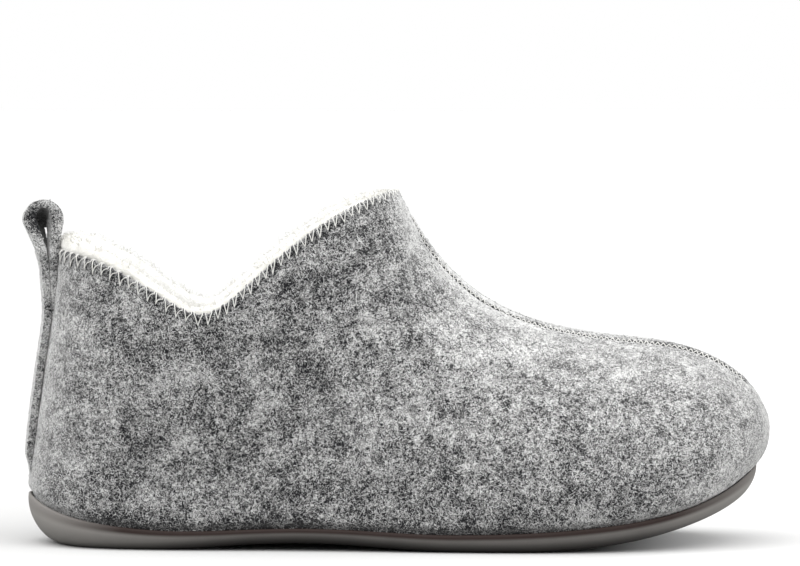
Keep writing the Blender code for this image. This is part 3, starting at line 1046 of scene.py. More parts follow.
def rubber_material(settings):
    """Satin moulded rubber, with the dark joint under the felt deepened by painted shadow, painted shade
    low on the edge and painted light at heel and toe.
    """
    finish, tree, shader = new_material("taupe_rubber", Specular_IOR_Level=0.18)
    place = in_millimetres(tree)
    cloudy = grain_of(tree, place, size=14.0, seed=9, detail=3.0)
    specks = grain_of(tree, place, size=0.5, seed=10, detail=3.0)
    rise, wear, band = (attribute(tree, name) for name in ("rise", "wear", "band"))
    # painted light: paler at heel and toe and darker in the middle, on top of the rubber's own clouds and
    # specks
    tone = weighted(tree, TONE_LEVEL, (wear, 1.0), (cloudy, CLOUD_TONE), (specks, SPECK_TONE))
    body = mix_colours(tree, maths(tree, "ADD", tone, 0.0, clamp=True), settings.deep, settings.rubber)
    # painted shade: the edge darkens towards the floor, less where the painted light is
    light_clears_low_shade = maths(tree, "MULTIPLY", wear, settings.light_clears_low_shade)
    above_low_shade = soft_climb(tree, rise, settings.low_shade_start, settings.low_shade_end)
    clean = maths(tree, "ADD", above_low_shade, light_clears_low_shade, clamp=True)
    low_shaded = mix_colours(tree, clean, settings.low_shade, body)
    # the dark joint under the felt, deepened with painted shadow
    line = soft_climb(tree, rise, settings.line_start, settings.line_end)
    line = maths(tree, "MULTIPLY", line, band)
    tree.links.new(mix_colours(tree, line, low_shaded, settings.line), shader.inputs["Base Color"])
    rough = weighted(tree, ROUGHNESS, (cloudy, CLOUD_ROUGHNESS), (specks, SPECK_ROUGHNESS))
    tree.links.new(rough.outputs[0], shader.inputs["Roughness"])
    add_bump(tree, shader, specks, strength=0.25, depth=0.06)
    return finish


# Settings


def colour(name, description, default):
    return FloatVectorProperty(
        name=name, description=description, subtype="COLOR", size=3, min=0.0, max=1.0, default=default
    )


def length(name, description, millimetres):
    return FloatProperty(
        name=name, description=description, unit="LENGTH", min=0.0, precision=5, default=millimetres * MM
    )


def number(name, description, default):
    return FloatProperty(name=name, description=description, min=0.0, default=default)


class FeltSettings(bpy.types.PropertyGroup):
    """Sizes and colours of the felt and its nap."""

    dark: colour("Dark wool", "Colour of the darkest wool in the mix", (0.012, 0.012, 0.0135))
    pale: colour("Pale wool", "Colour of the palest wool in the mix", (0.61, 0.61, 0.602))
    shade: number("Shade", "Share of pale wool in the mix", 0.335)
    shade_spread: number("Shade spread", "How far single fibres are darker or paler", 0.78)
    cloud_size: length("Cloud size", "Width of the soft dark and pale clouds", 14.0)
    cloud_spread: number("Cloud spread", "How dark and pale the clouds are", 0.9)
    # The next three settings paint the nap's sheen into the colour at the contours.
    sheen_tips: colour("Tips", "Colour of the nap's tips, seen at the contours", (0.68, 0.68, 0.67))
    contour_sheen: number("Contour", "How far the wool pales towards its contours", 0.34)
    sheen_tips_share: number("Tips share", "How much of the tips shows right at the contours", 0.3)
    sheen: number("Sheen", "Pale shine of the wool at its contours", 0.6)
    swell: length("Swell", "Height of the felt's soft unevenness", 0.35)
    fibre_length: length("Fibre length", "Mean length of the loose fibres", 0.97)
    fibre_width: number("Fibre width", "Width of a fibre as a share of its length", 0.21)
    fibres: number("Fibres", "Loose fibres on a square millimetre", 4.25)
    standing: FloatProperty(
        name="Standing fibres", description="Share of the fibres that stand off the felt",
        subtype="FACTOR", min=0.0, max=1.0, default=0.08,
    )
    stray_length: length("Stray length", "Mean length of the few long stray fibres", 5.0)
    strays: number("Strays", "Long stray fibres on a square millimetre", 0.012)
    seed: IntProperty(name="Seed", description="Fixes where the fibres lie", default=3)


class FleeceSettings(bpy.types.PropertyGroup):
    """Sizes and colours of the fleece."""

    # The pile's colour runs between these two, with painted shade beside the felt's edge and painted light
    # inside.
    colour: colour("Fleece", "Colour of the palest pile", (0.93, 0.925, 0.905))
    shaded: colour("Deep fleece", "Colour of the deepest pile", (0.62, 0.61, 0.575))
    paleness: number("Paleness", "Share of the palest colour in the pile", 0.4)
    rise: length("Rise", "How far the pile stands above the felt's edge", 2.3)
    mound: length("Mound", "How much further it stands above the edge at the heel", 2.8)
    lump_height: length("Lump height", "Height of the pile's lumps", 0.8)
    tuft_length: length("Tuft length", "Length of the curling locks", 2.6)
    seed: IntProperty(name="Seed", description="Fixes where the tufts grow", default=11)


class ThreadSettings(bpy.types.PropertyGroup):
    """Sizes and colours of the stitches."""

    colour: colour("Thread", "Colour of the sewing thread", (0.66, 0.655, 0.63))
    width: length("Thread width", "Thickness of the sewing thread", 0.38)
    collar_pitch: length("Collar pitch", "Length of one overedge stitch", 4.0)
    collar_depth: length("Collar depth", "How far an overedge stitch reaches down the felt", 4.2)
    seam_pitch: length("Seam pitch", "Length of one zigzag of the front seam", 2.1)
    seam_width: length("Seam width", "Width of the front seam's zigzag", 2.6)


class SoleSettings(bpy.types.PropertyGroup):
    """Sizes and colours of the sole."""

    # Rubber and deep rubber are the ends of one range: the rubber's own clouds and specks, and painted
    # light paler at heel and toe.
    rubber: colour("Rubber", "Colour of the sole where it is worn pale", (0.275, 0.263, 0.248))
    deep: colour("Deep rubber", "Colour of the sole where it is not worn", (0.097, 0.091, 0.086))
    # The line is the dark joint under the felt, deepened with painted shadow.
    line: colour("Line", "Colour of the line where felt and sole meet", (0.022, 0.013, 0.011))
    line_start: number("Line start", "Where the line starts, as a share of the way up the edge", 0.64)
    line_end: number("Line end", "Above this share of the way up, the line is full", 0.86)
    # The next four settings paint shade on the edge where it turns to the floor, which the painted light at
    # heel and toe lifts.
    low_shade: colour("Soil", "Colour of the edge where it turns to the floor", (0.012, 0.011, 0.01))
    low_shade_start: number("Soil start", "Below this share of the way up, the edge has the soil's colour", 0.0)
    low_shade_end: number("Soil end", "Above this share of the way up, the edge is clean", 0.75)
    light_clears_low_shade: number("Rubbed", "How much less soil there is where the edge is worn pale", 0.9)
    recess: length("Recess", "Depth of the tread between its ribs", 1.0)
    rib_spacing: length("Rib spacing", "Distance between the ribs of the tread", 6.0)


class StageSettings(bpy.types.PropertyGroup):
    """Light, floor and camera."""

    floor: colour("Floor", "Colour of the floor", (0.525, 0.525, 0.522))
    glow: number("Glow", "Light that the floor gives off beside the toe, which keeps its shadow pale", 0.2)
    bounce: number("Bounce", "Share of its light that the floor throws back at the boot", 0.456)
    sun: number("Sun", "Strength of the wide soft light from above", 4.7)
    toe_light: number("Toe light", "Strength of the soft light from beyond the toe", 1.9)
    front_light: number("Front light", "Strength of the soft light from the camera's side", 0.3)
    heel_light: number("Heel light", "Strength of the soft light from behind the heel", 0.9)
    sky: number("Sky", "Strength of the light from all round", 0.33)
    camera_distance: length("Camera distance", "From the boot to the camera", 3000.0)


# Pieces

COLLAR_COLUMNS, FRONT_COLUMNS = 250, 120  # columns of the felt along half the collar and the front seam
COLLAR_POINTS = 500  # points along half the collar, for its length
FOOT_ROWS, SIDE_ROWS, TOP_ROWS, SKIN_INNER_ROWS, RIM_STEPS = 8, 34, 26, 10, 7
FOOT_SHARE, TOP_SHARE = 0.06, 0.91  # heights on a profile where the rows change their spacing
FOOT_SWELL, FOOT_RISE, FOOT_FADE = 1.5, 3.5, 26.0  # the felt bulges over the sole, and where it does
TOE_FADE, FOOT_TOE = 1.4, 0.6  # stations before the toe in which that bulge shrinks, and its share there
FOOT_PLACES = (-124.0, -104.0, -40.0, 0.0, 60.0, 85.0)  # places along the sole
FOOT_PAINTED_SHADES = (0.22, 0.38, 0.34, 0.3, 0.25, 0.05)  # painted shade: how much darker the wool is painted above the sole there
FOOT_HEIGHTS = (5.0, 8.5, 7.5, 5.0, 4.0, 3.0)  # and how far up
STITCH_BAND = 4.6  # the collar's stitches pull the felt in over this depth
LOBE_OUT, LOBE_UP, LOBE_LEVEL = 0.7, 0.8, 0.4  # the felt bulges between two stitches, around this level
SWELL_SIZES, SWELL_SEED = (24.0, 9.0), 1  # widths of the felt's soft swells
SWELL_FROM_SEAM, SWELL_FROM_EDGE = 12.0, 9.0  # distances from seam and collar at which they are full
TRENCH_PAINTED_SHADE, STITCH_PAINTED_SHADE = 1.6, 0.22  # painted shade: how much darker the wool is painted in the trench and between the stitches
BARE_START, BARE_WIDTH = 1.6, 1.2  # the nap stays away from the seam: this many widths, and the width
BAND_COVER = 0.4  # how much thinner the nap is between the stitches

# The collar's stitches from the back seam to the peak, as shares of its length. Lengths and depths are
# shares of the settings; left, tip and right are places along one stitch; bow rounds the way back up.
STITCH_SHARES = (0.0, 0.06, 0.36, 0.46, 0.85, 1.0)
STITCH_LENGTHS = (0.7, 1.0, 1.0, 0.95, 0.88, 0.55)
STITCH_DEPTHS = (0.65, 1.0, 1.05, 1.0, 0.85, 0.5)
STITCH_LEFTS = (0.1, 0.1, 0.1, 0.22, 0.22, 0.22)
STITCH_TIPS = (0.2, 0.2, 0.25, 0.5, 0.5, 0.5)
STITCH_RIGHTS = (0.95, 0.95, 0.95, 0.8, 0.8, 0.8)
STITCH_BOWS = (0.9, 0.9, 0.6, 0.0, 0.0, 0.0)
FIRST_STITCH, LAST_STITCH = 1.0, 1.5  # how far the stitches keep from the back seam and from the peak
STITCH_SHIFTS = (-0.04, 0.06, 0.03)  # how far left, tip and right shift unevenly
SHIFT_BEAT, SECOND_BEAT, SECOND_SHIFT = 2.4, 5.3, 0.7  # waves that make the shifts uneven
DEPTH_BEAT, DEPTH_SHIFT = 4.1, 0.1  # and those of the depths
Stitch = namedtuple("Stitch", "left tip right reach bow")

# Soft places where the wool is darker or paler, partly its own clouds and partly painted light and painted
# shade: x, z, their reach along x and z, and the change of shade.
TONE_AND_LIGHT_PATCHES = (
    (-86.0, 78.0, 18.0, 10.0, -0.14),  # below the notch
    (-66.0, 58.0, 9.0, 14.0, -0.12),
    (-86.0, 36.0, 12.0, 8.0, -0.1),
    (-39.0, 98.0, 9.0, 9.0, -0.24),  # below the instep's collar
    (-32.0, 66.0, 12.0, 12.0, -0.12),
    (-16.0, 114.0, 10.0, 9.0, -0.12),
    (0.0, 105.0, 12.0, 14.0, -0.07),
    (16.0, 84.0, 11.0, 12.0, 0.16),  # painted light on the front of the instep
    (34.0, 75.0, 11.0, 8.0, 0.12),
    (40.0, 74.0, 14.0, 7.0, 0.1),
    (-6.0, 52.0, 9.0, 9.0, 0.12),
    (20.0, 56.0, 6.0, 9.0, 0.07),
    (35.0, 55.0, 6.0, 9.0, -0.08),
    (49.0, 56.0, 7.0, 9.0, 0.07),
    (62.0, 64.0, 32.0, 10.0, 0.08),  # painted light on the top of the vamp
    (112.0, 62.0, 20.0, 11.0, 0.1),
    (-46.0, 21.0, 20.0, 10.0, -0.13),  # painted shade low on the side
    (-4.0, 22.0, 12.0, 11.0, -0.19),
    (30.0, 18.0, 16.0, 8.0, -0.18),
    (64.0, 32.0, 7.0, 10.0, -0.2),  # upright streaks low on the vamp
    (88.0, 28.0, 5.0, 10.0, -0.18),
    (112.0, 26.0, 12.0, 9.0, 0.16),  # painted light on the front of the toe
    (-122.0, 62.0, 8.0, 22.0, 0.1),  # painted light beside the strap
)
PATCH_FADE = 20.0  # width across the ridge in which they fade out


def felt_columns():
    """Places round the boot of the columns of the felt's mesh, which are closer along the collar."""
    collar = np.linspace(0, PEAK, COLLAR_COLUMNS, endpoint=False)
    outer = np.concatenate([collar, np.linspace(PEAK, TOE, FRONT_COLUMNS, endpoint=False)])
    return np.concatenate([outer, [TOE], LOOP - outer[:0:-1]])


def collar_run():
    """Stations along half the collar and the length of its edge up to each."""
    stations = np.linspace(0, PEAK, COLLAR_POINTS)
    return stations, run_along(top_line(stations)[0])


def collar_stitches(settings):
    """The overedge stitches along half the collar, in millimetres along its edge and down the felt."""
    total = collar_run()[1][-1]
    pitch, depth = settings.collar_pitch / MM, settings.collar_depth / MM
    tables = (STITCH_LENGTHS, STITCH_DEPTHS, STITCH_BOWS, STITCH_LEFTS, STITCH_TIPS, STITCH_RIGHTS)
    stitches, start = [], FIRST_STITCH
    while start < total - LAST_STITCH:
        count = len(stitches)
        step, reach, bow, *places = (np.interp(start / total, STITCH_SHARES, row) for row in tables)
        uneven = np.sin(SHIFT_BEAT * count) + SECOND_SHIFT * np.sin(SECOND_BEAT * count + 1.0)
        places = [place + shift * uneven for place, shift in zip(places, STITCH_SHIFTS)]
        along = [start + pitch * step * place for place in places]
        reach *= 1 + DEPTH_SHIFT * np.sin(DEPTH_BEAT * count)
        stitches.append(Stitch(*along, depth * reach, bow))
        start += pitch * step
    return stitches


def seam_on(made):
    """The front seam as it is sewn, on the outer side of the last's ridge, laid on a wall's outer face."""
    line = front_seam()
    run = run_along(line)
    line[:, 1] -= SEAM_SHIFT * smooth_step(run / SEAM_SHIFT_RUN)
    line[:, 1] += SEAM_BACK * smooth_step((run - SEAM_BACK_START) / SEAM_BACK_RUN)
    points, ways = (part[1 : made.outer_rows].reshape(-1, 3) for part in (made.points, made.ways))
    near = nearest(points, line)[0]
    off = ((line - points[near]) * ways[near]).sum(axis=1)
    return line - ways[near] * off[:, None]


Felt = namedtuple("Felt", "wall tone cover seam")


def felt_wall(settings, thread):
    """The felt's wall with its soft swells, the bulge over the sole, the trench of the front seam and the
    lobes between the collar's stitches. Its tone holds the wool's darker and paler places together with
    painted shade and painted light; cover says how thick its nap is."""
    where = felt_columns()
    climbs = np.concatenate([
        np.linspace(0, FOOT_SHARE, FOOT_ROWS, endpoint=False),
        np.linspace(FOOT_SHARE, TOP_SHARE, SIDE_ROWS, endpoint=False),
        np.linspace(TOP_SHARE, 1, TOP_ROWS),
    ])
    made = wall(where, 0.0, FELT, 0.0, climbs, SKIN_INNER_ROWS, RIM_STEPS)
    seam = seam_on(made)
    rows = slice(1, made.outer_rows)
    shape = made.from_seam.shape
    points = made.points[rows].copy()
    flat = points.reshape(-1, 3)
    near, distance = nearest(seam, flat)
    distance = distance.reshape(shape)
    sewn = smooth_step((run_along(seam)[near].reshape(shape) - SEAM_PLAIN / 2) / SEAM_PLAIN)
    on_edge = made.stations <= PEAK
    below = np.linalg.norm(points - points[-1], axis=2)
    above = np.linalg.norm(points - points[0], axis=2)

    swell = settings.swell / MM * lumps_of_two_sizes(flat, *SWELL_SIZES, SWELL_SEED).reshape(shape)
    height = swell * smooth_step(distance / SWELL_FROM_SEAM) * smooth_step(below / SWELL_FROM_EDGE)
    to_toe = FOOT_TOE + (1 - FOOT_TOE) * smooth_step((TOE - made.stations) / TOE_FADE)
    height += FOOT_SWELL * to_toe * smooth_step(above / FOOT_RISE) * (1 - smooth_step(above / FOOT_FADE))
    trench = np.exp(-((distance / SEAM_WIDTH) ** 2)) * sewn
    height -= SEAM_DEPTH * trench
    height += SHOULDER * np.exp(-(((distance - SHOULDER_WIDTH) / SEAM_WIDTH) ** 2)) * sewn

    stations, run = collar_run()
    along = np.interp(made.stations, stations, run)
    sewn_at = np.array([(stitch.left + stitch.right) / 2 for stitch in collar_stitches(thread)])
    gap = np.abs(along[:, None] - sewn_at).min(axis=1) / (thread.collar_pitch / MM / 2)
    lobe = np.where(on_edge, smooth_step(gap) - LOBE_LEVEL, 0)
    lobe = lobe * smooth_step((PEAK - made.stations) / RIM_FADE)
    band = np.where(on_edge, 1 - smooth_step(below / STITCH_BAND), 0)
    made.points[rows] += made.ways[rows] * (height + LOBE_OUT * lobe * band)[:, :, None]
    rim = slice(made.outer_rows, made.outer_rows + RIM_STEPS)
    made.points[rim] += made.ways[rim] * (LOBE_UP * lobe)[:, None]

    # painted light along the ridge over the vamp
    fading = 1 - smooth_step((made.stations - RIDGE_LAST) / RIDGE_FADE)
    ridge = np.exp(-((made.from_seam / RIDGE_WIDTH) ** 2)) * fading
    # painted shade on the wool just above the sole
    reach, shade = (np.interp(points[0, :, 0], FOOT_PLACES, row) for row in (FOOT_HEIGHTS, FOOT_PAINTED_SHADES))
    foot = shade * (1 - smooth_step(above / reach))
    # painted shade in the trench, between the stitches and above the sole, painted light on the ridge
    tone = -TRENCH_PAINTED_SHADE * trench - STITCH_PAINTED_SHADE * band + RIDGE_PAINTED_LIGHT * ridge - foot
    # the wool's own clouds with painted light and painted shade, which fade across the ridge
    for x, z, reach_x, reach_z, change in TONE_AND_LIGHT_PATCHES:
        spot = ((points[:, :, 0] - x) / reach_x) ** 2 + ((points[:, :, 2] - z) / reach_z) ** 2
        tone += change * np.exp(-spot) * smooth_step(0.5 - points[:, :, 1] / PATCH_FADE)
    cover = 1 - smooth_step(BARE_START - distance / BARE_WIDTH) * sewn
    return Felt(made, tone, cover * (1 - BAND_COVER * band), seam)


def spread_rows(made, values):
    """Values of the outer rows carried on over the wall's floor, rim and inner face."""
    rest = len(made.points) - made.outer_rows
    return np.concatenate([values[:1], values, np.repeat(values[-1:], rest, axis=0)])


class SLIPPER_OT_felt_upper(bpy.types.Operator):
    """Builds the felt upper as a wall of its real thickness"""

    bl_idname = "slipper.felt_upper"
    bl_label = "Felt upper"

    def execute(self, context):
        settings = context.scene.slipper_felt
        felt = felt_wall(settings, context.scene.slipper_thread)
        made = felt.wall
        finish = felt_material(settings)
        skin = add_piece("felt_upper", made.points, wall_faces(made), finish)
        store(skin, "tone", spread_rows(made, felt.tone))
        close_up(skin, STEP)
        fit(skin, "felt", "upper")
        return {"FINISHED"}


# Sideways bend, wave and arch of the fibres, as shares of their length.
FIBRE_BENDS = (
    (0.16, 0.02, 0.05),
    (-0.1, 0.05, 0.07),
    (0.28, -0.04, 0.04),
    (-0.22, -0.03, 0.06),
    (0.05, 0.07, 0.05),
)
SHORT_SEGMENTS, STRAY_SEGMENTS = 1, 4  # of the short fibres and of the few long ones
STRAY_WIDTH, STRAY_STANDING = 0.03, 0.6  # width of a stray as a share of its length, and how many stand up


def nap_shapes(name, width, segments):
    """Lying fibres with different bends."""
    return shape_collection(name, [wool_fibre(*bend, width, segments) for bend in FIBRE_BENDS])


def nap_look(settings):
    """How the felt's loose fibres lie on it."""
    return {
        "Length": settings.fibre_length,
        "Length Spread": 0.5,
        "Lean": 0.06,
        "Standing Share": settings.standing,
        "Standing Lean": 0.4,
        "Shade": settings.shade,
        "Shade Spread": settings.shade_spread,
        "Cloud Size": settings.cloud_size / MM,
        "Cloud Spread": settings.cloud_spread,
        "Material": bpy.data.materials["wool_fibres"],
    }


def scatter(name, base, shapes, seed, look):
    """Scatters strands over a sheet, which is used up, and returns them as one piece."""
    made = run_nodes(base, shared("scattered_strands"), {"Shapes": shapes, "Seed": seed, **look}, name)
    map_strands(made, seed)
    return made


NAP_PIECES = ("outer_heel_nap", "outer_toe_nap", "inner_toe_nap", "inner_heel_nap")


class SLIPPER_OT_felt_nap(bpy.types.Operator):
    """Grows the loose wool fibres on the felt, one piece for each side of the boot"""

    bl_idname = "slipper.felt_nap"
    bl_label = "Felt nap"

    def execute(self, context):
        settings = context.scene.slipper_felt
        finish = fibre_material(settings)
        felt = felt_wall(settings, context.scene.slipper_thread)
        made = felt.wall
        shapes = nap_shapes("short_fibre", settings.fibre_width, SHORT_SEGMENTS)
        stray_shapes = nap_shapes("stray_fibre", STRAY_WIDTH, STRAY_SEGMENTS)
        rows = np.arange(1, made.outer_rows + RIM_STEPS // 2)
        columns = made.points.shape[1]
        corners = (0, COLLAR_COLUMNS, COLLAR_COLUMNS + FRONT_COLUMNS, columns - COLLAR_COLUMNS, columns)
        tone, cover = (spread_rows(made, values) for values in (felt.tone, felt.cover))

        def sheet_of(name, first, last, density):
            patch = np.ix_(rows, np.arange(first, last + 1) % columns)
            sheet = made.points[patch]
            base = add_piece(name, sheet, grid_faces(*sheet.shape[:2]), finish)
            store(base, "tone", tone[patch])
            store(base, "density", density * cover[patch] / MM**2)
            return base

        look = nap_look(settings)
        for i, name in enumerate(NAP_PIECES):
            base = sheet_of(name, corners[i], corners[i + 1], settings.fibres)
            fit(scatter(name, base, shapes, settings.seed + i, look), "felt", "upper")
        base = sheet_of("stray_fibres", 0, columns, settings.strays)
        look.update({"Length": settings.stray_length, "Standing Share": STRAY_STANDING})
        fit(scatter("stray_fibres", base, stray_shapes, settings.seed, look), "felt", "upper")
        drop_shapes(shapes)
        drop_shapes(stray_shapes)
        return {"FINISHED"}


LINING_COLUMNS, LINING_ROWS, LINING_INNER_ROWS, LINING_RIM_STEPS = 440, 8, 64, 9
LINING_TOP = 0.97  # the outer rows end with one more row just below the collar
MOUND_START, MOUND_FADE = 0.8, 1.2  # stations over which the pile's mound at the heel falls off
SPILL = 2.4  # how far the mound spills back over the felt's rim
TONE_ROWS = (1, 4, 7)  # rows past the felt's edge: beside it, on top of the rim and inside
PILE_PAINTED_SHADE_AND_LIGHT = (-0.4, -0.2, 0.5)  # painted shade beside the felt's edge and on the rim, painted light inside the boot
RIM_TUFTS, DEEP_TUFTS, BED_TUFTS = 0.55, 0.05, 0.12  # on a square millimetre: collar, inside and footbed
RIM_TUFT_ROWS = 10  # rows below the rim that have as many tufts as the collar
LINING_LUMPS, LINING_SEED = (7.0, 2.8), 3  # widths of the lining's lumps
BED_LUMPS, BED_SEED = (5.0, 2.4), 5  # and of the footbed's
TUFT_LOCKS, TUFT_WIDTH = 3, 0.07  # locks of a tuft and their width, as a share of their length
TUFTS, LEAST_TUFT_CURL, TUFT_CURL_STEP, TUFT_TURN = 4, 1.9, 0.35, 1.3  # kinds of tufts, how they differ


def grow_tufts(name, base, settings, seed):
    """Scatters curling tufts over a fleece surface, which is used up, and returns them as one piece."""
    curls = [LEAST_TUFT_CURL + TUFT_CURL_STEP * i for i in range(TUFTS)]
    tufts = [fleece_tuft(TUFT_LOCKS, curl, TUFT_WIDTH, TUFT_TURN * i) for i, curl in enumerate(curls)]
    shapes = shape_collection("fleece_tuft", tufts)
    look = {
        "Length": settings.tuft_length,
        "Length Spread": 0.35,
        "Lean": 0.4,
        "Standing Share": 0.0,
        "Standing Lean": 0.0,
        "Shade": settings.paleness,
        "Shade Spread": 0.1,
        "Cloud Size": 6.0,
        "Cloud Spread": 0.1,
        "Material": bpy.data.materials["fleece_locks"],
    }
    made = scatter(name, base, shapes, seed, look)
    drop_shapes(shapes)
    return made


class SLIPPER_OT_fleece(bpy.types.Operator):
    """Builds the fleece lining, which stands a little above the collar, with its curling tufts"""

    bl_idname = "slipper.fleece"
    bl_label = "Fleece lining"

    def execute(self, context):
        settings = context.scene.slipper_fleece
        finish = fleece_material(settings)
        lock_material(settings)
        where = np.arange(LINING_COLUMNS) * LOOP / LINING_COLUMNS
        heel = 1 - smooth_step((side_of(where)[1] - MOUND_START) / MOUND_FADE)
        made = wall(
            where, FELT + GAP, WALL, (settings.rise + settings.mound * heel) / MM,
            np.append(np.linspace(0, LINING_TOP, LINING_ROWS), 1.0), LINING_INNER_ROWS, LINING_RIM_STEPS,
        )
        spilling = slice(made.outer_rows - 1, made.outer_rows + LINING_RIM_STEPS)
        falling = np.cos(np.linspace(0, np.pi / 2, LINING_RIM_STEPS + 1))[:, None]
        made.points[spilling] += made.ways[made.outer_rows - 1] * (SPILL * heel**2 * falling)[:, :, None]
        rows = slice(made.outer_rows, len(made.points) - 1)
        flat = made.points[rows].reshape(-1, 3)
        height = settings.lump_height / MM * lumps_of_two_sizes(flat, *LINING_LUMPS, LINING_SEED)
        made.points[rows] += made.ways[rows] * height.reshape(made.ways[rows].shape[:2])[:, :, None]
        lining = add_piece("fleece_lining", made.points, wall_faces(made), finish)
        # painted shade and painted light, row by row
        tone = np.interp(np.arange(len(made.points)) - made.outer_rows, TONE_ROWS, PILE_PAINTED_SHADE_AND_LIGHT)
        store(lining, "tone", np.repeat(tone, LINING_COLUMNS))
        close_up(lining, STEP)
        fit(lining, "fleece", "upper")
        first = made.outer_rows + 1
        sheet = made.points[first:-1]
        rim_faces = LINING_RIM_STEPS - 1
        faces = []
        for face in grid_faces(*sheet.shape[:2], closed=True):
            on_rim = face[0] // LINING_COLUMNS < rim_faces
            if not on_rim or max(made.stations[corner % LINING_COLUMNS] for corner in face) <= PEAK:
                faces.append(face)
        base = add_piece("fleece_tufts", sheet, faces, finish)
        density = np.full(sheet.shape[:2], DEEP_TUFTS)
        density[: rim_faces + RIM_TUFT_ROWS] = RIM_TUFTS
        store(base, "density", density / MM**2)
        store(base, "tone", np.repeat(tone[first:-1], LINING_COLUMNS))
        fit(grow_tufts("fleece_tufts", base, settings, settings.seed), "fleece", "upper")
        return {"FINISHED"}


INSOLE_COLUMNS, INSOLE_ACROSS = 200, 44
BED_ROLL = 0.3  # share of its rounding where the footbed's edge has one more row
BED_EDGE = 0.3  # power of the rise from its edge to its lumps


class SLIPPER_OT_footbed(bpy.types.Operator):
    """Builds the fleece footbed that lies on the sole's floor"""

    bl_idname = "slipper.footbed"
    bl_label = "Fleece footbed"

    def execute(self, context):
        settings = context.scene.slipper_fleece
        finish = bpy.data.materials["fleece_pile"]
        half = INSOLE_COLUMNS // 2
        where = np.arange(INSOLE_COLUMNS) * LOOP / INSOLE_COLUMNS
        clear, rolled = WALL + 2 * GAP, BED_ROLL * INSOLE_ROUNDING
        edge = floor_ring(where, clear + INSOLE_ROUNDING, GAP + INSOLE)
        sides = np.array([
            floor_ring(where, clear, GAP),
            floor_ring(where, clear, GAP + INSOLE - INSOLE_ROUNDING),
            floor_ring(where, clear + rolled, GAP + INSOLE - rolled),
            edge,
        ])
        share = np.linspace(0, 1, INSOLE_ACROSS)[None, :, None]
        outer, inner = edge[: half + 1], edge[-np.arange(half + 1) % INSOLE_COLUMNS]
        sheet = outer[:, None] * (1 - share) + inner[:, None] * share
        flat = sheet.reshape(-1, 3)
        lump = settings.lump_height / MM
        height = lump * lumps_of_two_sizes(flat, *BED_LUMPS, BED_SEED)
        inside = np.sin(np.pi * share[:, :, 0]) ** BED_EDGE
        sheet[:, :, 2] += (height.reshape(sheet.shape[:2]) - lump) * inside
        top = grid_faces(*sheet.shape[:2])
        start = len(flat)
        skirt = np.array(grid_faces(len(sides), INSOLE_COLUMNS, closed=True)) + start
        faces = top + skirt.tolist() + cap_faces(start, INSOLE_COLUMNS)
        bed = add_piece("fleece_footbed", np.concatenate([flat, sides.reshape(-1, 3)]), faces, finish)
        close_up(bed, STEP)
        fit(bed, "fleece", "insole")
        base = add_piece("footbed_tufts", sheet, top, finish)
        store(base, "density", BED_TUFTS / MM**2)
        fit(grow_tufts("footbed_tufts", base, settings, settings.seed + 1), "fleece", "insole")
        return {"FINISHED"}


def skin_search():
    """Nearest-point search on the finished felt upper."""
    mesh = bpy.data.objects["felt_upper"].data
    return BVHTree.FromPolygons([v.co for v in mesh.vertices], [tuple(p.vertices) for p in mesh.polygons])


def on_skin(search, points, lift):
    """Points in millimetres laid on the felt, then lifted off it."""
    laid = []
    for point in points:
        spot, normal, _, _ = search.find_nearest(Vector(point * MM))
        laid.append(np.array(spot) / MM + np.array(normal) * lift)
    return np.array(laid)


def thicken(name, paths, width, sides, finish):
    """Turns paths in millimetres into one piece of round threads or ribs, whose width is in metres."""
    mesh = bpy.data.meshes.new(name)
    edges, start = [], 0
    for path in paths:
        edges += [(i, i + 1) for i in range(start, start + len(path) - 1)]
        start += len(path)
    mesh.from_pydata((np.concatenate(paths) * MM).tolist(), edges, [])
    source = bpy.data.objects.new(name, mesh)
    bpy.context.scene.collection.objects.link(source)
    values = {"Width": width, "Sides": sides, "Material": finish}
    return run_nodes(source, shared("round_paths"), values, name)


THREAD_LIFT = 0.45  # height of a thread's middle above the felt, as a share of its width
THREAD_SIDES, LEG_POINTS = 6, 7  # sides of a thread, and points along one leg of a stitch
EDGE_DEPTH = 0.7  # how far below the edge a stitch's thread turns over it
RIM_DEPTHS = (3.0, 1.6, 0.4)  # how far inside the felt's face it lies on its way over the rim
RIM_LIFT, RIM_BOW = 0.35, 0.1  # how high it lies above the edge there, and how round its way is
SEAM_BEAT, SEAM_UNEVEN = 2.9, 0.12  # how unevenly wide the zigzag of the front seam is


def collar_path(side, settings, search):
    """Overedge stitches along one side of the collar: down the felt to a tip, back and over the edge."""
    stations, run = collar_run()
    where = stations if side < 0 else LOOP - stations
    edge, out, up, _ = surface_frame(where, np.ones(len(where)))
    speed = np.linalg.norm(edge - upper_surface(where, np.full(len(where), 1 - STEP)), axis=1) / STEP
    lift = THREAD_LIFT * settings.width / MM
    t = np.linspace(0, 1, LEG_POINTS)

    def on_face(along, drop):
        places = np.interp(along, run, where)
        laid = upper_surface(places, 1 - drop / np.interp(along, run, speed))
        return on_skin(search, laid, lift)

    def over_rim(along, depths):
        at, outwards, upwards = (
            np.array([np.interp(along, run, part) for part in values.T]) for values in (edge, out, up)
        )
        lifts = [RIM_LIFT - RIM_BOW * (depth - FELT / 2) ** 2 for depth in depths]
        return np.array([at - outwards * depth + upwards * high for depth, high in zip(depths, lifts)])

    paths = []
    for stitch in collar_stitches(settings):
        rounded, fall = 1 + stitch.bow, stitch.reach - EDGE_DEPTH
        down = on_face(stitch.left + (stitch.tip - stitch.left) * t, EDGE_DEPTH + fall * t)
        along = stitch.tip + (stitch.right - stitch.tip) * t**rounded
        back = on_face(along, EDGE_DEPTH + fall * (1 - t) ** rounded)
        start, end = over_rim(stitch.left, RIM_DEPTHS), over_rim(stitch.right, RIM_DEPTHS[::-1])
        paths += [start, down, back[1:], end]
    return np.concatenate(paths)


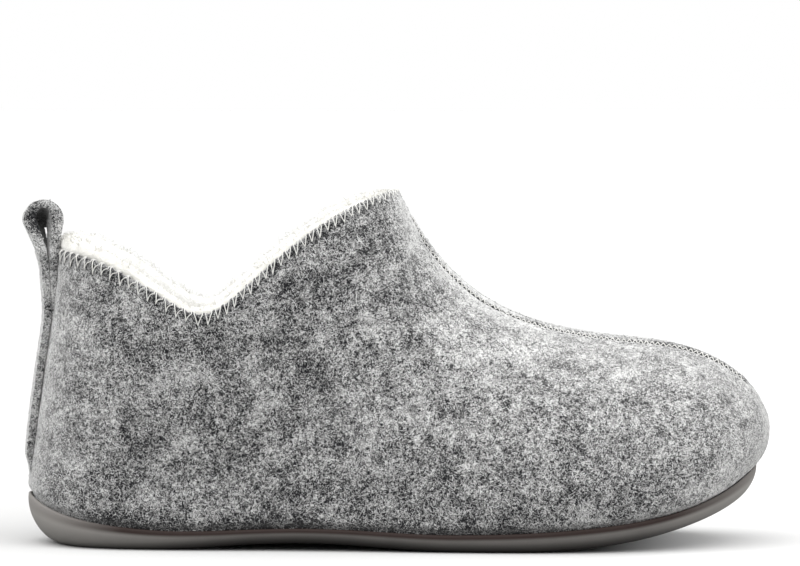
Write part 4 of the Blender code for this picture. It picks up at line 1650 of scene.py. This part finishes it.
def seam_path(line, settings, search):
    """Zigzag that joins the two sides along the front seam."""
    run = run_along(line)
    leg = settings.seam_pitch / MM / 2
    corners = np.arange(SEAM_PLAIN, run[-1], leg)
    middle = np.array([[np.interp(s, run, part) for part in line.T] for s in corners])
    ahead = unit(np.gradient(middle, axis=0))
    normals = np.array([search.find_nearest(Vector(point * MM))[1] for point in middle])
    across = unit(np.cross(normals, ahead))
    counts = np.arange(len(corners))
    uneven = 1 + SEAM_UNEVEN * np.sin(SEAM_BEAT * counts)
    swing = settings.seam_width / MM / 2 * uneven * np.where(counts % 2, -1, 1)
    targets = middle + across * swing[:, None]
    lift = THREAD_LIFT * settings.width / MM
    t = np.linspace(0, 1, LEG_POINTS)[:-1, None]

    def legs(ends):
        return np.concatenate([start + (end - start) * t for start, end in zip(ends, ends[1:])])

    bridges = legs(on_skin(search, targets, lift))
    laid = on_skin(search, legs(targets), lift)
    return np.where(bridges[:, 2:] > laid[:, 2:], bridges, laid)


class SLIPPER_OT_stitches(bpy.types.Operator):
    """Sews the overedge stitches round the collar and the zigzag of the front seam"""

    bl_idname = "slipper.stitches"
    bl_label = "Stitches"

    def execute(self, context):
        settings = context.scene.slipper_thread
        finish = thread_material(settings)
        search = skin_search()
        line = felt_wall(context.scene.slipper_felt, settings).seam
        collar = [collar_path(side, settings, search) for side in (-1, 1)]
        seam = [seam_path(line, settings, search)]
        for name, paths in (("collar_stitches", collar), ("seam_stitches", seam)):
            fit(thicken(name, paths, settings.width, THREAD_SIDES, finish), "felt", "upper")
        return {"FINISHED"}


STRAP_ROWS, STRAP_COLUMNS, LOOP_ROWS, INNER_LEG_ROWS = 60, 13, 33, 17
STRAP_FELT, COLLAR_FELT = 2.7, 3.3  # thickness of the strap's pressed felt, and beside the collar
LOOP_FELT, LOOP_TOP_FELT = 4.6, 3.0  # where it swells in the sides of the loop, and at the loop's top
INNER_LEG_SINK = 0.69  # share where the inner leg's end is sewn into the felt
FOLD_PAINTED_SHADE, STRAP_TONE = 1.0, 0.14  # painted shade inside the loop's fold, and the wool a little paler outside it
EYE_EDGE = 0.4  # share of that painted shade which the strap's edge takes on beside the loop's eye
EYE_START, EYE_FADE = 1.5, 2.5  # depths below the loop's outer face over which that painted shade comes in
LEG_FLARE, FLARE_START = 1.6, 0.9  # the outer leg leaves the inner one below the loop, from this share on
STRAP_END, END_ROWS = 0.9, 6  # thickness of the strap's lower end and the rows in which it thins
COLLAR_ROWS = 6  # rows in which it thickens below the collar
STRAP_NAP = 0.7  # fibres on the strap, as a share of those on the upper
STRAP_EDGE, EDGE_SEGMENTS, EDGE_ANGLE = 0.9, 3, 1.0  # rounding of the strap's edges
STRAP_SEED = 2  # added to the felt's seed
LOOP_PINCH, LOOP_DROP = 0.3, 6.5  # the loop is this much narrower, and lower, at its inner edge


def loop_angles():
    """Angles of the lines round the loop's bend."""
    return np.radians(np.linspace(LOOP_START, LOOP_END, LOOP_ROWS))


def loop_felt(angle):
    """Thickness of the felt round the loop's bend."""
    return LOOP_FELT - (LOOP_FELT - LOOP_TOP_FELT) * np.maximum(np.sin(angle), 0) ** 2


def strap_line(share, sideways, lift):
    """Points across the heel strap, lifted off the felt, at a share of the back seam's climb."""
    climb = np.full(len(sideways), share)
    pair = upper_surface(np.array([-STEP, STEP]), np.array([share, share]))
    where = -sideways * 2 * STEP / (pair[0, 1] - pair[1, 1])
    points, out, _, _ = surface_frame(where, climb)
    return points + out * lift


def strap_lines():
    """Lines across the strap, from its lower end up the back seam, round the loop and down inside."""
    sideways = np.linspace(-STRAP_WIDTH / 2, STRAP_WIDTH / 2, STRAP_COLUMNS)
    on_felt = GAP + STRAP_FELT / 2
    lines = []
    for share in np.linspace(STRAP_BOTTOM, 1.0, STRAP_ROWS):
        spread = smooth_step((share - INNER_LEG_SINK) / (INNER_LEG_END - INNER_LEG_SINK))
        flare = LEG_FLARE * smooth_step((share - FLARE_START) / (1 - FLARE_START))
        thin = (STRAP_FELT - STRAP_END) / 2 * (1 - smooth_step(len(lines) / END_ROWS))
        lines.append(strap_line(share, sideways, on_felt - thin + flare + (STRAP_FELT + GAP) * spread))
    collar = strap_line(1.0, sideways, 0.0)
    bend_line = collar - collar[STRAP_COLUMNS // 2] + np.array([LOOP_CENTRE_X, 0.0, LOOP_CENTRE_Z])
    inward = smooth_step(np.linspace(0, 1, STRAP_COLUMNS))[:, None]
    for angle in loop_angles():
        radius = LOOP_OUTER_RADIUS - loop_felt(angle) / 2
        bend = radius * np.array([np.cos(angle), 0.0, np.sin(angle)])
        drop = LOOP_DROP * max(np.sin(angle), 0.0) * np.array([0.0, 0.0, 1.0])
        lines.append(bend_line + bend * (1 - LOOP_PINCH * inward) - drop * inward)
    for share in np.linspace(1.0, INNER_LEG_SINK, INNER_LEG_ROWS):
        sunk = 1 - smooth_step((share - INNER_LEG_SINK) / (INNER_LEG_END - INNER_LEG_SINK))
        lines.append(strap_line(share, sideways, on_felt - (STRAP_FELT + GAP) * sunk))
    return np.array(lines)


class SLIPPER_OT_heel_loop(bpy.types.Operator):
    """Builds the felt strap up the back seam, with its loop and its nap"""

    bl_idname = "slipper.heel_loop"
    bl_label = "Heel loop"

    def execute(self, context):
        settings = context.scene.slipper_felt
        lines = strap_lines()
        finish = bpy.data.materials["grey_felt"]
        strap = add_piece("heel_strap", lines, grid_faces(*lines.shape[:2]), finish)
        rows = np.arange(len(lines))
        from_loop = np.maximum(STRAP_ROWS - 1 - rows, rows - STRAP_ROWS - LOOP_ROWS)
        felt = COLLAR_FELT - (COLLAR_FELT - STRAP_FELT) * smooth_step(from_loop / COLLAR_ROWS)
        felt[STRAP_ROWS : STRAP_ROWS + LOOP_ROWS] = loop_felt(loop_angles())
        felt -= (STRAP_FELT - STRAP_END) * (1 - smooth_step(rows / END_ROWS))
        swollen = strap.vertex_groups.new(name="felt")
        for row, thickness in enumerate(felt):
            members = range(row * STRAP_COLUMNS, (row + 1) * STRAP_COLUMNS)
            swollen.add(list(members), float(thickness / LOOP_FELT), "REPLACE")
        wall_of_felt = strap.modifiers.new("wall", "SOLIDIFY")
        wall_of_felt.thickness = LOOP_FELT * MM
        wall_of_felt.offset = 0.0
        wall_of_felt.vertex_group = swollen.name
        edge = strap.modifiers.new("edge", "BEVEL")
        edge.width = STRAP_EDGE * MM
        edge.segments = EDGE_SEGMENTS
        edge.limit_method = "ANGLE"
        edge.angle_limit = EDGE_ANGLE
        strap = settle(strap, "heel_strap")
        strap.data.shade_smooth()
        fit(strap, "felt", "heel_loop")
        points = np.array([vertex.co for vertex in strap.data.vertices]) / MM
        ways = np.array([vertex.normal for vertex in strap.data.vertices])
        from_middle = points - np.array([LOOP_CENTRE_X, 0.0, LOOP_CENTRE_Z])
        from_middle[:, 1] = 0.0
        facing_in = -(unit(from_middle) * ways).sum(axis=1)
        depth = LOOP_OUTER_RADIUS - np.linalg.norm(from_middle, axis=1)
        # painted shade inside the loop's fold and on the strap's edge beside its eye
        eye = np.maximum(smooth_step(2 * facing_in), EYE_EDGE * smooth_step((depth - EYE_START) / EYE_FADE))
        store(strap, "tone", STRAP_TONE - FOLD_PAINTED_SHADE * eye * (depth > 0))
        base = bpy.data.objects.new("strap_nap", strap.data.copy())
        context.scene.collection.objects.link(base)
        store(base, "density", STRAP_NAP * settings.fibres / MM**2)
        shapes = nap_shapes("strap_fibre", settings.fibre_width, SHORT_SEGMENTS)
        nap = scatter("strap_nap", base, shapes, settings.seed + STRAP_SEED, nap_look(settings))
        fit(nap, "felt", "heel_loop")
        drop_shapes(shapes)
        return {"FINISHED"}


SOLE_COLUMNS, SOLE_EDGE_ROWS = 360, 24
TREAD_RIM = 4.0  # width of the flat rim round the tread
LIP_TOP = ((0.75, 0.25), (0.3, 0.2))  # rows over the lip: share of its width and height above it
TRAY_DROP = 0.2  # how far below the lip the tray starts
CREASE = 0.9  # angle in radians from which the sole's edges look sharp
RIB_SIDES, RIB_POINTS, RIB_BOW = 10, 9, 2.0  # sides, points and forward bow of a tread rib
TOE_LIP, TOE_BULGE = 0.35, 0.2  # shares to which the sole's lip and bulge shrink at the toe
TOE_DROP = 1.5  # how much lower the lip lies there, where the felt laps over it
PAINTED_LINE_PLACES = (-134.0, -120.0, -100.0, 100.0, 122.0, 134.0)  # places along the sole
PAINTED_LINE_SHADE = (0.2, 0.5, 1.0, 1.0, 0.6, 0.3)  # how dark the joint line under the felt is painted there: painted shadow that fades at heel and toe
SOLE_LIGHT_PLACES = (-124.0, -104.0, -84.0, -56.0, 0.0, 40.0, 90.0, 120.0, 134.0)  # places along the sole
PAINTED_SOLE_LIGHT = (1.0, 0.7, 0.35, 0.1, 0.08, 0.22, 0.26, 0.75, 1.0)  # painted light: how much paler the rubber is painted there, palest at heel and toe, darkest in the middle


class SLIPPER_OT_outsole(bpy.types.Operator):
    """Builds the rubber sole: rounded edge, lip round the felt, tray and ribbed tread"""

    bl_idname = "slipper.outsole"
    bl_label = "Outsole"

    def execute(self, context):
        settings = context.scene.slipper_sole
        finish = rubber_material(settings)
        recess = settings.recess / MM
        where = np.arange(SOLE_COLUMNS) * LOOP / SOLE_COLUMNS
        foot, outward = feather_line(where)
        under = foot - outward * ring_spline(column("tread"), where)[:, None]
        under[:, 2] = tread_height(under[:, 0])
        station = side_of(where)[1]
        toe = smooth_step((TOE - station) / TOE_FADE)[:, None]
        lip_width = SOLE_LIP * (TOE_LIP + (1 - TOE_LIP) * toe)
        foot[:, 2] -= TOE_DROP * (1 - toe[:, 0])
        lip = foot + outward * (GAP + lip_width)
        shoulder = lip + outward * EDGE_BULGE * (TOE_BULGE + (1 - TOE_BULGE) * toe)
        shoulder[:, 2] -= EDGE_SHOULDER * (foot[:, 2] - under[:, 2])
        turn = EDGE_TURN * lip + (1 - EDGE_TURN) * under
        turn[:, 2] = under[:, 2]
        shares = np.linspace(0, 1, SOLE_EDGE_ROWS)
        edge = [bezier(under, turn, shoulder, lip, t) for t in shares]
        up = np.array([0.0, 0.0, 1.0])
        rolled = [foot + outward * (GAP + lip_width * share) + up * rise for share, rise in LIP_TOP]
        tray = [foot + outward * GAP - up * TRAY_DROP, floor_ring(where, -GAP, 0.0)]

        def inside(inset, lift):
            ring = under - outward * inset
            ring[:, 2] = tread_height(ring[:, 0]) + lift
            return ring

        tread = [inside(TREAD_RIM + recess, recess), inside(TREAD_RIM, 0.0)]
        rings = np.array(tread + edge + rolled + tray)
        faces = grid_faces(len(rings), SOLE_COLUMNS, closed=True)
        for ring in (0, len(rings) - 1):
            faces += cap_faces(ring * SOLE_COLUMNS, SOLE_COLUMNS)
        sole = add_piece("rubber_sole", rings, faces, finish)
        close_up(sole)
        sole.data.set_sharp_from_angle(angle=CREASE)
        store(sole, "rise", (rings[:, :, 2] - under[:, 2]) / (foot[:, 2] - under[:, 2]))
        # painted shadow of the joint line along the sole
        store(sole, "band", np.tile(np.interp(foot[:, 0], PAINTED_LINE_PLACES, PAINTED_LINE_SHADE), len(rings)))
        # painted light along the sole
        store(sole, "wear", np.interp(rings[:, :, 0], SOLE_LIGHT_PLACES, PAINTED_SOLE_LIGHT))
        fit(sole, "sole_rubber", "outsole")
        half = SOLE_COLUMNS // 2
        outer, inner = tread[0][: half + 1], tread[0][-np.arange(half + 1) % SOLE_COLUMNS]
        spacing = settings.rib_spacing / MM
        paths = []
        for x in np.arange(outer[:, 0].min() + spacing, outer[:, 0].max() - spacing / 2, spacing):
            ends = [np.interp(x, side[:, 0], side[:, 1]) for side in (outer, inner)]
            y = np.linspace(*ends, RIB_POINTS)
            bow = RIB_BOW * np.cos(np.linspace(-np.pi / 2, np.pi / 2, RIB_POINTS))
            paths.append(np.column_stack([x + bow, y, tread_height(x + bow) + recess]))
        ribs = thicken("tread_ribs", paths, 2 * settings.recess, RIB_SIDES, finish)
        fit(ribs, "sole_rubber", "outsole")
        return {"FINISHED"}


PIXEL = 0.37  # millimetres that one pixel of the 800 x 566 photograph shows at the boot
PICTURE_WIDTH, PICTURE_MIDDLE_X, PICTURE_MIDDLE_Y = 800, 400, 283
CENTRE_PIXEL_X, FLOOR_PIXEL_Y = 396.5, 549  # where x = 0 and the sole's front edge on the floor show
FLOOR_DROP = 2.75  # the floor in front of the boot shows this much below its middle
CAMERA_TILT = 3.5  # degrees above the horizon
SENSOR = 36.0
CLIP_END = 3.0  # how far the camera sees, as a multiple of its distance
FLOOR_HALF = 4.0  # metres
GLOW_START, GLOW_END = 70.0, 120.0  # places along the boot between which the floor's glow sets in

# The setting with a light's strength, the direction towards it and its width in degrees.
LIGHTS = (
    ("sun", (-0.18, -0.36, 1.0), 100.0),
    ("toe_light", (1.0, -0.4, 0.32), 60.0),
    ("heel_light", (-1.0, 0.0, 0.4), 60.0),
    ("front_light", (-0.1, -1.0, 0.36), 60.0),
)


def floor_material(settings):
    """Matt pale floor. It throws back less light than it shows, and glows a little beside the toe."""
    finish, tree, shader = new_material(
        "pale_floor", Roughness=0.8, Specular_IOR_Level=0.1, Emission_Strength=settings.glow
    )
    apart = add_node(tree, "ShaderNodeSeparateXYZ", {0: in_millimetres(tree)})
    lit = soft_climb(tree, apart.outputs["X"], GLOW_START, GLOW_END)
    tree.links.new(lit.outputs["Result"], shader.inputs["Emission Color"])
    seen = add_node(tree, "ShaderNodeLightPath").outputs["Is Camera Ray"]
    dim = tuple(settings.bounce * part for part in settings.floor)
    tree.links.new(mix_colours(tree, seen, dim, settings.floor), shader.inputs["Base Color"])
    return finish


def light_stage(scene, settings):
    """A white sky, which lights the boot less than it shows, and wide soft lights."""
    scene.world = bpy.data.worlds.new("studio")
    scene.world.use_nodes = True
    tree = scene.world.node_tree
    sky = tree.nodes["Background"]
    sky.inputs["Color"].default_value = (1.0, 1.0, 1.0, 1.0)
    seen = add_node(tree, "ShaderNodeLightPath").outputs["Is Camera Ray"]
    lit = maths(tree, "MULTIPLY_ADD", seen, 1.0 - settings.sky, settings.sky)
    tree.links.new(lit.outputs[0], sky.inputs["Strength"])
    for name, toward, width in LIGHTS:
        lamp = bpy.data.lights.new(name, "SUN")
        lamp.energy = getattr(settings, name)
        lamp.angle = np.radians(width)
        light = bpy.data.objects.new(name, lamp)
        light.rotation_euler = Vector(toward).to_track_quat("Z", "Y").to_euler()
        scene.collection.objects.link(light)
    scene.view_settings.view_transform = "Standard"


def place_camera(scene, settings):
    """A long lens that shows the boot where the photograph shows it."""
    lens = bpy.data.cameras.new("camera")
    distance = settings.camera_distance / MM
    lens.sensor_width = SENSOR
    lens.lens = SENSOR * distance / (PIXEL * PICTURE_WIDTH)
    lens.clip_end = CLIP_END * distance * MM
    camera = bpy.data.objects.new("camera", lens)
    tilt = np.radians(CAMERA_TILT)
    aim_x = (PICTURE_MIDDLE_X - CENTRE_PIXEL_X) * PIXEL
    aim_up = (FLOOR_PIXEL_Y - PICTURE_MIDDLE_Y) * PIXEL - FLOOR_DROP
    aim = np.array([aim_x, aim_up * np.sin(tilt), aim_up * np.cos(tilt)])
    back = np.array([0.0, -np.cos(tilt), np.sin(tilt)])
    camera.location = (aim + back * distance) * MM
    camera.rotation_euler = (np.pi / 2 - tilt, 0.0, 0.0)
    scene.collection.objects.link(camera)
    scene.camera = camera


class SLIPPER_OT_stage(bpy.types.Operator):
    """Sets up the pale floor, the soft studio light and the camera"""

    bl_idname = "slipper.stage"
    bl_label = "Stage"

    def execute(self, context):
        settings = context.scene.slipper_stage
        size = FLOOR_HALF / MM
        corners = [(-size, -size, 0), (size, -size, 0), (size, size, 0), (-size, size, 0)]
        floor = add_piece("floor", corners, [(0, 1, 2, 3)], floor_material(settings))
        light_stage(context.scene, settings)
        place_camera(context.scene, settings)
        return {"FINISHED"}


STEPS = (
    SLIPPER_OT_outsole,
    SLIPPER_OT_felt_upper,
    SLIPPER_OT_felt_nap,
    SLIPPER_OT_fleece,
    SLIPPER_OT_footbed,
    SLIPPER_OT_stitches,
    SLIPPER_OT_heel_loop,
    SLIPPER_OT_stage,
)
SETTINGS = {
    "slipper_felt": FeltSettings,
    "slipper_fleece": FleeceSettings,
    "slipper_thread": ThreadSettings,
    "slipper_sole": SoleSettings,
    "slipper_stage": StageSettings,
}


class SLIPPER_PT_sidebar(bpy.types.Panel):
    """Lists the steps that build the boot and its settings"""

    bl_idname = "SLIPPER_PT_sidebar"
    bl_label = "Felt slipper boot"
    bl_space_type = "VIEW_3D"
    bl_region_type = "UI"
    bl_category = "Slipper"

    def draw(self, context):
        for step in STEPS:
            self.layout.operator(step.bl_idname)
        for name, group in SETTINGS.items():
            box = self.layout.box()
            for label in group.__annotations__:
                box.prop(getattr(context.scene, name), label)


def register():
    for group in (*SETTINGS.values(), *STEPS, SLIPPER_PT_sidebar):
        bpy.utils.register_class(group)
    for name, group in SETTINGS.items():
        setattr(bpy.types.Scene, name, PointerProperty(type=group))


def unregister():
    for name in SETTINGS:
        delattr(bpy.types.Scene, name)
    for group in (SLIPPER_PT_sidebar, *reversed(STEPS), *reversed(SETTINGS.values())):
        bpy.utils.unregister_class(group)


def main():
    register()
    for step in STEPS:
        module, name = step.bl_idname.split(".")
        getattr(getattr(bpy.ops, module), name)()


if __name__ == "__main__":
    main()
